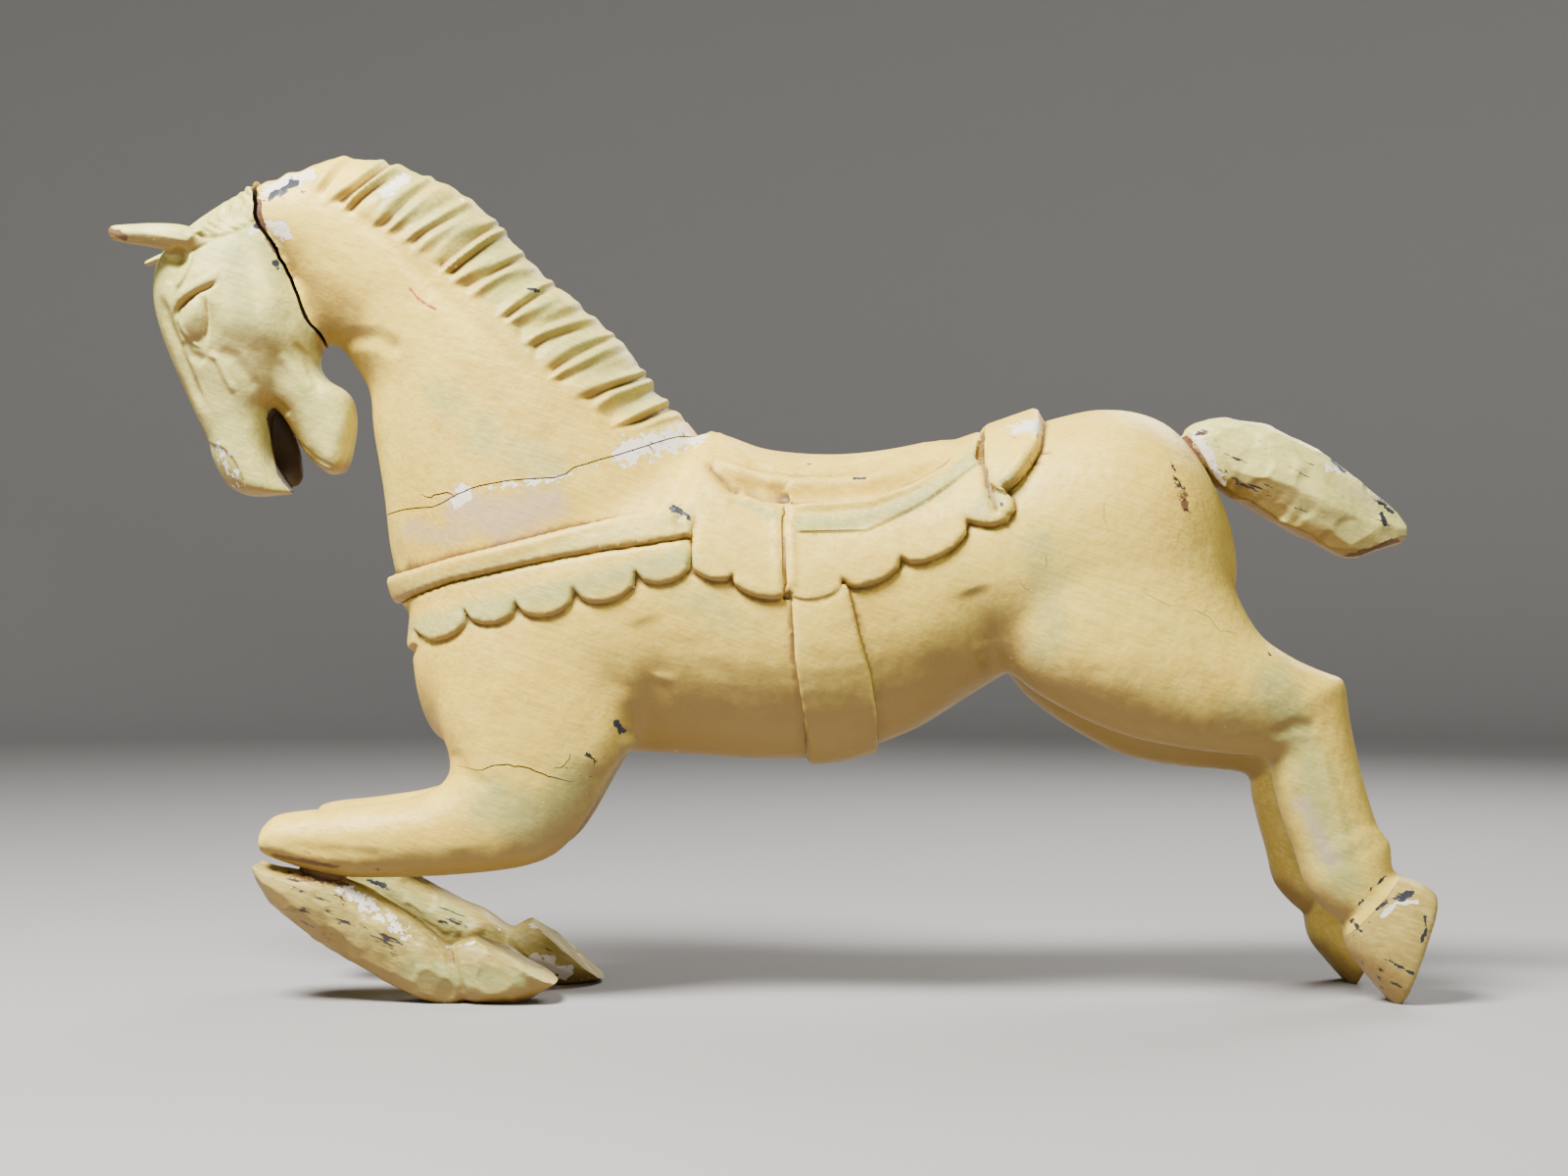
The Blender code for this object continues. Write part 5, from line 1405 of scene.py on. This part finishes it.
def aged_paint(name, light, dark, paints):
    """Old matt house paint over gesso over wood, brushed on, dirty and darkened with painted shade in its
    hollows, darkened with painted shade underneath, chipped and stained.
    """
    material = bpy.data.materials.new(name)
    material.use_nodes = True
    tree = material.node_tree
    shader = tree.nodes["Principled BSDF"]

    def field(which):
        return place_node(tree, "ShaderNodeAttribute", {"attribute_name": which}).outputs["Fac"]

    def maths(kind, a, b):
        return place_node(tree, "ShaderNodeMath", {"operation": kind}, _0=a, _1=b).outputs[0]

    def plus(a, b):
        return maths("ADD", a, b)

    def less(a, b):
        return maths("SUBTRACT", a, b)

    def times(a, b):
        return maths("MULTIPLY", a, b)

    def most(a, b):
        return maths("MAXIMUM", a, b)

    def noise(scale, detail, roughness, vector=None):
        node = place_node(tree, "ShaderNodeTexNoise", Scale=scale, Detail=detail, Roughness=roughness)
        tree.links.new(vector or place, node.inputs["Vector"])
        return node.outputs["Fac"]

    def ramp(value, low, high):
        node = place_node(tree, "ShaderNodeMapRange", {"interpolation_type": "SMOOTHSTEP"}, Value=value,
                          From_Min=low, From_Max=high)
        return node.outputs[0]

    def over(colour, coat, value, low, high, share=1.0):
        """A coat over the colour that comes in between two values."""
        amount = ramp(value, low, high)
        return mixed(times(amount, share) if share < 1 else amount, colour, coat)

    def mixed(share, first, second):
        node = place_node(tree, "ShaderNodeMix", {"data_type": "RGBA"})
        for socket, value in ((0, share), (6, first), (7, second)):
            if isinstance(value, bpy.types.NodeSocket):
                tree.links.new(value, node.inputs[socket])
            else:
                node.inputs[socket].default_value = value
        return node.outputs[2]

    place = place_node(tree, "ShaderNodeTexCoord").outputs["Object"]
    parts = place_node(tree, "ShaderNodeSeparateXYZ", Vector=place)
    crosswise = plus(parts.outputs["Z"], times(parts.outputs["X"], STROKE_SLANT))
    stroke_place = place_node(tree, "ShaderNodeCombineXYZ", X=times(field("along"), STROKE_STRETCH),
                              Y=parts.outputs["Y"], Z=crosswise).outputs[0]
    cloud, mottle, fine = [noise(*kind) for kind in (CLOUD, MOTTLE, FINE)]
    lumps, flakes, veil = [noise(*kind) for kind in (LUMPS, FLAKES, VEIL)]
    brush, grain, streaks = [noise(*kind, stroke_place) for kind in (BRUSH, GRAIN, STREAKS)]

    # The top coat: yellowed in clouds, veiled with dirt, washed with green and rubbed pale
    colour = over(light, dark, plus(times(cloud, CLOUD_SHARE), times(mottle, MOTTLE_SHARE)), *YELLOWED)
    colour = over(colour, paints.dirt_and_shade, veil, *VEILED)
    washed = plus(field("wash"), times(less(mottle, WASH_MIDDLE), WASH_MOTTLE))
    colour = over(colour, paints.wash, washed, *WASHED)
    colour = over(colour, paints.dirt_and_shade, brush, *BRUSHED_DARK)
    colour = over(colour, paints.pale, brush, *BRUSHED_PALE)
    rubbed = times(field("edge"), ramp(mottle, *RUBBED))
    colour = mixed(times(rubbed, RUBBED_SHARE), colour, paints.pale)

    # Painted shade on faces turned down, dirt with painted shade in the hollows and the mouth, then stains
    # and specks that have settled on it
    colour = over(colour, paints.dirt_and_shade, times(field("under"), plus(UNDERSIDE_SHADE_SHARE, mottle)), *UNDERSIDE_SHADE)
    grime_and_shade = times(field("dirt_and_shade"), plus(GRIME_AND_SHADE_SHARE, mottle))
    colour = over(colour, paints.dirt_and_shade, grime_and_shade, *GRIMY_AND_SHADED)
    colour = over(colour, paints.deep, grime_and_shade, *BLACKENED_AND_SHADED)
    colour = over(colour, paints.stain, plus(field("stain"), mottle), *STAINED)
    colour = over(colour, paints.deep, fine, *SPECKED)

    # Where it has gone: white ground, older dark paint, a red scratch, broken wood and fine flaking
    ragged_flakes = times(less(flakes, 0.5), RAGGED_FLAKES)
    ragged_edge = plus(ragged_flakes, times(less(fine, 0.5), RAGGED_FINE))
    bare = ramp(plus(field("gesso"), ragged_edge), *BARE)
    colour = mixed(bare, colour, paints.gesso)
    chipped = ramp(plus(field("chip"), times(ragged_edge, CHIP_RAGGED)), *CHIPPED)
    colour = mixed(chipped, colour, paints.chip)
    colour = over(colour, paints.red, plus(field("red"), less(fine, 0.5)), *SCRATCHED)
    wood = over(paints.wood, paints.dark_wood, grain, *GRAINED)
    # Bare wood darkened by dirt and by painted shade in the hollows
    wood = over(wood, paints.deep, field("dirt_and_shade"), *SOILED_AND_SHADED)
    broken = ramp(plus(field("wood"), times(ragged_edge, WOOD_RAGGED)), *BROKEN)
    colour = mixed(broken, colour, wood)
    flaked = ramp(plus(streaks, times(field("flake"), FLAKE_SHARE)), *FLAKED)
    colour = mixed(flaked, colour, over(paints.chip, paints.dark_wood, fine, *FLAKED_DARK))
    tree.links.new(colour, shader.inputs["Base Color"])

    rough = plus(plus(times(mottle, MOTTLE_ROUGH), SMOOTHEST), times(most(broken, bare), BARE_ROUGH))
    tree.links.new(rough, shader.inputs["Roughness"])
    shader.inputs["Specular IOR Level"].default_value = SHEEN

    # Brush marks and lumps, sunk where paint is gone and rough where wood is broken
    height = plus(plus(times(brush, BRUSH_HEIGHT), times(lumps, LUMP_HEIGHT)), times(fine, FINE_HEIGHT))
    height = less(less(height, times(most(chipped, bare), COAT_HEIGHT)), times(flaked, COAT_HEIGHT))
    height = plus(height, times(times(broken, grain), GRAIN_HEIGHT))
    bump = place_node(tree, "ShaderNodeBump", Strength=UNEVEN_SHARE, Distance=UNEVEN_DEPTH, Height=height)
    tree.links.new(bump.outputs[0], shader.inputs["Normal"])
    return material


# Pieces


def add_piece(name, mesh, material, slot, *nodes):
    """Puts one finished block in its place on the solid model and hides the solid that it stands for."""
    shift(mesh, PATTERN_ZERO)
    mesh.name = name
    mesh.materials.clear()
    mesh.materials.append(material)
    mesh.shade_smooth()
    mesh.set_sharp_from_angle(angle=SHARP_ANGLE)
    piece = bpy.data.objects.new(name, mesh)
    bpy.context.scene.collection.objects.link(piece)
    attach(piece, "root")
    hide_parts(*nodes)


def length(label, text, metres):
    return FloatProperty(name=label, description=text, default=metres, unit="LENGTH")


def power(label, text, watts):
    return FloatProperty(name=label, description=text, default=watts, unit="POWER")


class HorseSizes(bpy.types.PropertyGroup):
    """Sizes of the carving."""

    mane: length("Mane", "How far the mane stands out", 0.0065)
    lock_pitch: length("Lock pitch", "From one lock to the next", 0.021)
    lock_depth: length("Lock depth", "Depth of the grooves between locks", 0.0050)
    collar: length("Collar", "Thickness of the collar band", 0.010)
    fringe: length("Fringe", "Thickness of the scalloped band", 0.006)
    cloth: length("Blanket", "Thickness of the saddle blanket", 0.008)
    seat: length("Seat", "Thickness of the seat on the blanket", 0.009)
    block: length("Rear block", "Thickness of the block behind the seat", 0.007)
    slot: length("Slot", "Depth of the grooves in the blanket", 0.005)
    band: length("Seat band", "Thickness of the band under the seat", 0.003)
    girth: length("Girth", "Thickness of the girth strap", 0.007)
    head_crack: length("Head crack", "Width of the open joint of the head", 0.0025)
    neck_crack: length("Neck crack", "Width of the open joint of the neck", 0.0012)
    joint: length("Joint", "Gap between touching blocks", 0.0004)


def paint(label, text, red, green, blue):
    return FloatVectorProperty(name=label, description=text, subtype="COLOR", size=4, min=0, max=1,
                               default=(red, green, blue, 1.0))


class HorsePaints(bpy.types.PropertyGroup):
    """Colours of the paint, the layers under it and what has settled on it; the dirt colours also serve as
    painted shade.
    """

    light: paint("Cream", "Clean top coat", 0.89, 0.66, 0.1)
    dark: paint("Yellowed cream", "Top coat where it has yellowed", 0.74, 0.5, 0.06)
    sage_light: paint("Pale sage", "Top coat of the head and the tail", 0.93, 0.84, 0.27)
    sage_dark: paint("Deeper sage", "Top coat of the head and the tail, yellowed", 0.76, 0.68, 0.17)
    worn_light: paint("Worn cream", "Top coat of the lower legs", 0.52, 0.39, 0.09)
    worn_dark: paint("Worn ochre", "Top coat of the lower legs, dirty", 0.31, 0.22, 0.045)
    wash: paint("Sage", "Thin green wash", 0.42, 0.44, 0.14)
    pale: paint("Pale", "Rubbed high places", 0.94, 0.79, 0.24)
    # The dirt colour, also used as painted shade in the hollows and on faces turned down
    dirt_and_shade: paint("Dirt", "Ochre dirt in the hollows", 0.28, 0.165, 0.035)
    # The deep dirt colour, also used as darker painted shade in deep hollows and the mouth
    deep: paint("Deep dirt", "Dark dirt in cracks", 0.06, 0.032, 0.012)
    gesso: paint("Gesso", "White ground where the paint is gone", 0.84, 0.77, 0.64)
    stain: paint("Stain", "Mauve-grey stains", 0.48, 0.36, 0.33)
    chip: paint("Chip", "Blue-black older paint", 0.03, 0.034, 0.044)
    red: paint("Red", "A scratch of red", 0.5, 0.1, 0.04)
    wood: paint("Wood", "Broken wood", 0.2, 0.1, 0.035)
    dark_wood: paint("Dark wood", "Broken wood, dark grain", 0.07, 0.028, 0.01)


class StageSettings(bpy.types.PropertyGroup):
    """Floor, light and camera."""

    floor: paint("Floor", "Colour of the floor", 0.34, 0.335, 0.33)
    key: power("Key light", "Power of the main soft light", 350.0)
    fill: power("Fill light", "Power of the filling light", 9.0)
    back: power("Back light", "Power of the light behind", 90.0)
    sky: FloatProperty(name="Surroundings", description="Brightness of the surroundings", default=0.09, min=0,
                       subtype="FACTOR", soft_max=1)
    lens: FloatProperty(name="Lens", description="Focal length", default=69.75, subtype="DISTANCE_CAMERA")


class HORSE_OT_blocks(bpy.types.Operator):
    """Carve and paint the body, the neck, the head and the hoof on the near hind leg"""

    bl_idname = "horse.blocks"
    bl_label = "Body, neck and head"

    def execute(self, context):
        sizes, paints = context.scene.horse_sizes, context.scene.horse_paints
        smooth = smooth_horse()
        whittle(smooth, TRUNK_CUTS, TRUNK_SHAVING, TRUNK_FACET, TRUNK_SEED)
        head_path = ragged(HEAD_CRACK, CRACK_STEPS, CRACK_WANDER, HEAD_CRACK_SEED)
        neck_path = ragged(NECK_CRACK, CRACK_STEPS, CRACK_WANDER, NECK_CRACK_SEED)
        head_half = sizes.head_crack / SQUARE / 2 * np.linspace(*HEAD_CRACK_TAPER, len(head_path))
        neck_half = sizes.neck_crack / SQUARE / 2

        head = shaped_by(smooth.copy(), box_between(*HEAD_BLOCK), "INTERSECT")
        head = joined([head, loft(NEAR_EAR), loft(FAR_EAR), loft(FAR_LIP)])
        head = remeshed(head, HEAD_VOXEL, SMOOTH_ROUNDS)
        carve_poll(head)
        carve_head(head)
        relax(head, 1, SOFTEN)
        head_carving = Carving(head, HEAD_VOXEL)
        head = shaped_by(head, crack_block(beside(head_path, -head_half) + HEAD_BEYOND), "INTERSECT")

        neck = shaped_by(smooth.copy(), box_between(*NECK_BLOCK), "INTERSECT")
        neck = remeshed(neck, NECK_VOXEL, SMOOTH_ROUNDS)
        carve_mane(neck, sizes)
        relax(neck, 1, SOFTEN)
        carve_strokes(neck, NECK_STROKES)
        neck_carving = Carving(neck, NECK_VOXEL)
        neck = shaped_by(neck, crack_block(beside(neck_path, -neck_half) + NECK_BEYOND), "INTERSECT")
        neck = shaped_by(neck, crack_block(beside(head_path, head_half) + HEAD_BEYOND))
        neck = split_surface(neck, NECK_SPLITS, -1, NECK_SPLIT_SEED)

        body = remeshed(smooth, BODY_VOXEL, SMOOTH_ROUNDS)
        carve_tack(body, sizes)
        carve_mane(body, sizes)
        carve_strokes(body, SADDLE_STROKES + BODY_STROKES + GIRTH_STROKES)
        body_carving = Carving(body, BODY_VOXEL)
        body = shaped_by(body, crack_block(beside(neck_path, neck_half) + NECK_BEYOND))
        hoof_half = sizes.joint / SQUARE / 2
        below, above = [prism(BELOW_HOOF + beside(HOOF_JOINT, offset)[::-1], NEAR_LEG_SPAN)
                        for offset in (-hoof_half, hoof_half)]
        hoof = shaped_by(body.copy(), below, "INTERSECT")
        body = thinned(flattened(shaped_by(body, above)), MOST_TRIANGLES)
        body = split_surface(body, NEAR_SPLITS, -1, BODY_SPLIT_SEED)

        cream = aged_paint("cream_paint_aged", paints.light, paints.dark, paints)
        sage = aged_paint("sage_paint_aged", paints.sage_light, paints.sage_dark, paints)
        worn = aged_paint("worn_paint_aged", paints.worn_light, paints.worn_dark, paints)
        for mesh, carving, limbs, *amounts in (
            (body, body_carving, (TORSO, NEAR_HIND, FAR_HIND, NEAR_FOREARM, far_forearm()), BODY_WASH),
            (neck, neck_carving, (NECK,), NECK_WASH),
            (head, head_carving, (SKULL, LOWER_JAW, NEAR_EAR), HEAD_WASH),
            (hoof, body_carving, (NEAR_HIND_HOOF,), HOOF_WASH, HOOF_FLAKE),
        ):
            paint_fields(mesh, carving, limbs, NEAR_MARKS, *amounts)
        add_piece("carved_body", body, cream, "cream_paint", "body")
        add_piece("carved_neck", neck, cream, "cream_paint", "neck")
        add_piece("carved_head", head, sage, "sage_paint", "head")
        add_piece("carved_hoof", flattened(hoof), worn, "worn_paint", "near_hind_hoof")
        return {"FINISHED"}


def lower_leg(shin, hoof):
    """Cannon, pastern and hoof, with the bare wood that meets the knee."""
    stub = blob((shin[2][0] + STUB_BACK, shin[2][5], STUB_HEIGHT), STUB_RADII)
    return remeshed(joined([loft(shin), loft(hoof, SQUARISH), stub]), LEG_VOXEL, SMOOTH_ROUNDS)


def body_on_pattern():
    """A copy of the carved body's mesh, back on the pattern's zero."""
    mesh = bpy.data.objects["carved_body"].data.copy()
    shift(mesh, -PATTERN_ZERO)
    return mesh


class HORSE_OT_lower_legs(bpy.types.Operator):
    """Carve and paint both lower forelegs"""

    bl_idname = "horse.lower_legs"
    bl_label = "Lower forelegs"

    def execute(self, context):
        sizes, paints = context.scene.horse_sizes, context.scene.horse_paints
        body = body_on_pattern()
        worn = aged_paint("leg_paint_aged", paints.worn_light, paints.worn_dark, paints)
        for name, shin, hoof in (("near_fore_lower_leg", NEAR_SHIN, NEAR_FORE_HOOF),
                                 ("far_fore_lower_leg", FAR_SHIN, FAR_FORE_HOOF)):
            mesh = lower_leg(shin, hoof)
            carve_strokes(mesh, LEG_STROKES)
            whittle(mesh, LEG_CUTS, LEG_SHAVING, LEG_FACET, LEG_SEED)
            carving = Carving(mesh, LEG_VOXEL)
            mesh = flattened(shaped_by(mesh, inflated(body, sizes.joint)))
            marks = NEAR_MARKS + SHIN_MARKS if shin[0][5] < 0 else FAR_MARKS
            paint_fields(mesh, carving, (shin, hoof), marks, LEG_WASH, LEG_FLAKE, True)
            add_piece("carved_" + name, mesh, worn, "worn_paint", name)
        bpy.data.meshes.remove(body)
        return {"FINISHED"}


class HORSE_OT_tail(bpy.types.Operator):
    """Carve and paint the tail"""

    bl_idname = "horse.tail"
    bl_label = "Tail"

    def execute(self, context):
        sizes, paints = context.scene.horse_sizes, context.scene.horse_paints
        body = body_on_pattern()
        mesh = remeshed(loft(TAIL, SQUARISH), TAIL_VOXEL, SMOOTH_ROUNDS)
        carve_strokes(mesh, TAIL_STROKES)
        whittle(mesh, TAIL_CUTS, LEG_SHAVING, LEG_FACET, TAIL_SEED)
        carving = Carving(mesh, TAIL_VOXEL)
        mesh = shaped_by(mesh, inflated(body, sizes.joint))
        paint_fields(mesh, carving, (TAIL,), TAIL_MARKS, TAIL_WASH, TAIL_FLAKE)
        sage = aged_paint("tail_paint_aged", paints.sage_light, paints.sage_dark, paints)
        add_piece("carved_tail", mesh, sage, "worn_paint", "tail")
        bpy.data.meshes.remove(body)
        return {"FINISHED"}


def soft_light(name, place, target, width, height, colour, watts):
    light = bpy.data.lights.new(name, "AREA")
    light.shape = "RECTANGLE"
    light.size, light.size_y = width, height
    light.energy = watts
    light.color = colour
    obj = bpy.data.objects.new(name, light)
    obj.location = place
    obj.rotation_euler = (Vector(target) - Vector(place)).to_track_quat("-Z", "Y").to_euler()
    bpy.context.scene.collection.objects.link(obj)


def round_floor():
    """A round sheet, flat in the middle and bent up into a wall at its rim."""
    flat = STAGE_RADIUS - STAGE_BEND
    profile = [(0.5, 0.0), (2.0, 0.0), (flat, 0.0)]
    profile += [(flat + STAGE_BEND * math.sin(a), STAGE_BEND - STAGE_BEND * math.cos(a))
                for a in np.linspace(0.15, math.pi / 2, 12)]
    profile.append((STAGE_RADIUS, STAGE_HEIGHT))
    turns = np.arange(STAGE_SIDES) * 2 * math.pi / STAGE_SIDES
    bm = bmesh.new()
    rows = [[bm.verts.new((r * math.cos(t), r * math.sin(t), z)) for t in turns] for r, z in profile]
    bm.faces.new(rows[0])
    skin(bm, [row[::-1] for row in rows])
    mesh = bpy.data.meshes.new("studio_floor")
    bm.to_mesh(mesh)
    bm.free()
    mesh.shade_smooth()
    return mesh


class HORSE_OT_stage(bpy.types.Operator):
    """Set up the floor, the soft lights and the camera"""

    bl_idname = "horse.stage"
    bl_label = "Floor, light and camera"

    def execute(self, context):
        settings = context.scene.horse_stage
        mesh = round_floor()
        floor = bpy.data.objects.new("studio_floor", mesh)
        context.scene.collection.objects.link(floor)
        material = bpy.data.materials.new("studio_paper")
        material.use_nodes = True
        shader = material.node_tree.nodes["Principled BSDF"]
        shader.inputs["Base Color"].default_value = settings.floor
        shader.inputs["Roughness"].default_value = STAGE_ROUGHNESS
        mesh.materials.append(material)

        soft_light(*KEY_LIGHT, settings.key)
        soft_light(*BACK_LIGHT, settings.back)
        soft_light(*FILL_LIGHT, settings.fill)
        world = bpy.data.worlds.new("studio")
        world.use_nodes = True
        background = world.node_tree.nodes["Background"]
        background.inputs["Color"].default_value = SKY_COLOUR
        background.inputs["Strength"].default_value = settings.sky
        context.scene.world = world

        lens = bpy.data.cameras.new("camera")
        lens.lens = settings.lens
        lens.sensor_fit = "HORIZONTAL"
        lens.sensor_width = SENSOR_WIDTH
        camera = bpy.data.objects.new("camera", lens)
        camera.location = (PATTERN_ZERO, -EYE_DISTANCE * SQUARE, EYE_HEIGHT * SQUARE)
        camera.rotation_euler = (math.pi / 2, 0, 0)
        context.scene.collection.objects.link(camera)
        context.scene.camera = camera
        return {"FINISHED"}


OPERATORS = (HORSE_OT_blocks, HORSE_OT_lower_legs, HORSE_OT_tail, HORSE_OT_stage)


class HORSE_PT_panel(bpy.types.Panel):
    """The horse's pieces, in the order that they are made"""

    bl_idname = "HORSE_PT_panel"
    bl_label = "Carousel horse"
    bl_space_type = "VIEW_3D"
    bl_region_type = "UI"
    bl_category = "Horse"

    def draw(self, context):
        column = self.layout.column(align=True)
        for operator in OPERATORS:
            column.operator(operator.bl_idname)
        for group in (context.scene.horse_sizes, context.scene.horse_paints, context.scene.horse_stage):
            box = self.layout.box()
            for name in group.__annotations__:
                box.prop(group, name)


GROUPS = {"horse_sizes": HorseSizes, "horse_paints": HorsePaints, "horse_stage": StageSettings}


def register():
    for cls in (*GROUPS.values(), *OPERATORS, HORSE_PT_panel):
        bpy.utils.register_class(cls)
    for name, group in GROUPS.items():
        setattr(bpy.types.Scene, name, PointerProperty(type=group))


def unregister():
    for name in GROUPS:
        delattr(bpy.types.Scene, name)
    for cls in (HORSE_PT_panel, *reversed(OPERATORS), *reversed(GROUPS.values())):
        bpy.utils.unregister_class(cls)


def main():
    register()
    bpy.ops.horse.blocks()
    bpy.ops.horse.lower_legs()
    bpy.ops.horse.tail()
    bpy.ops.horse.stage()


if __name__ == "__main__":
    main()
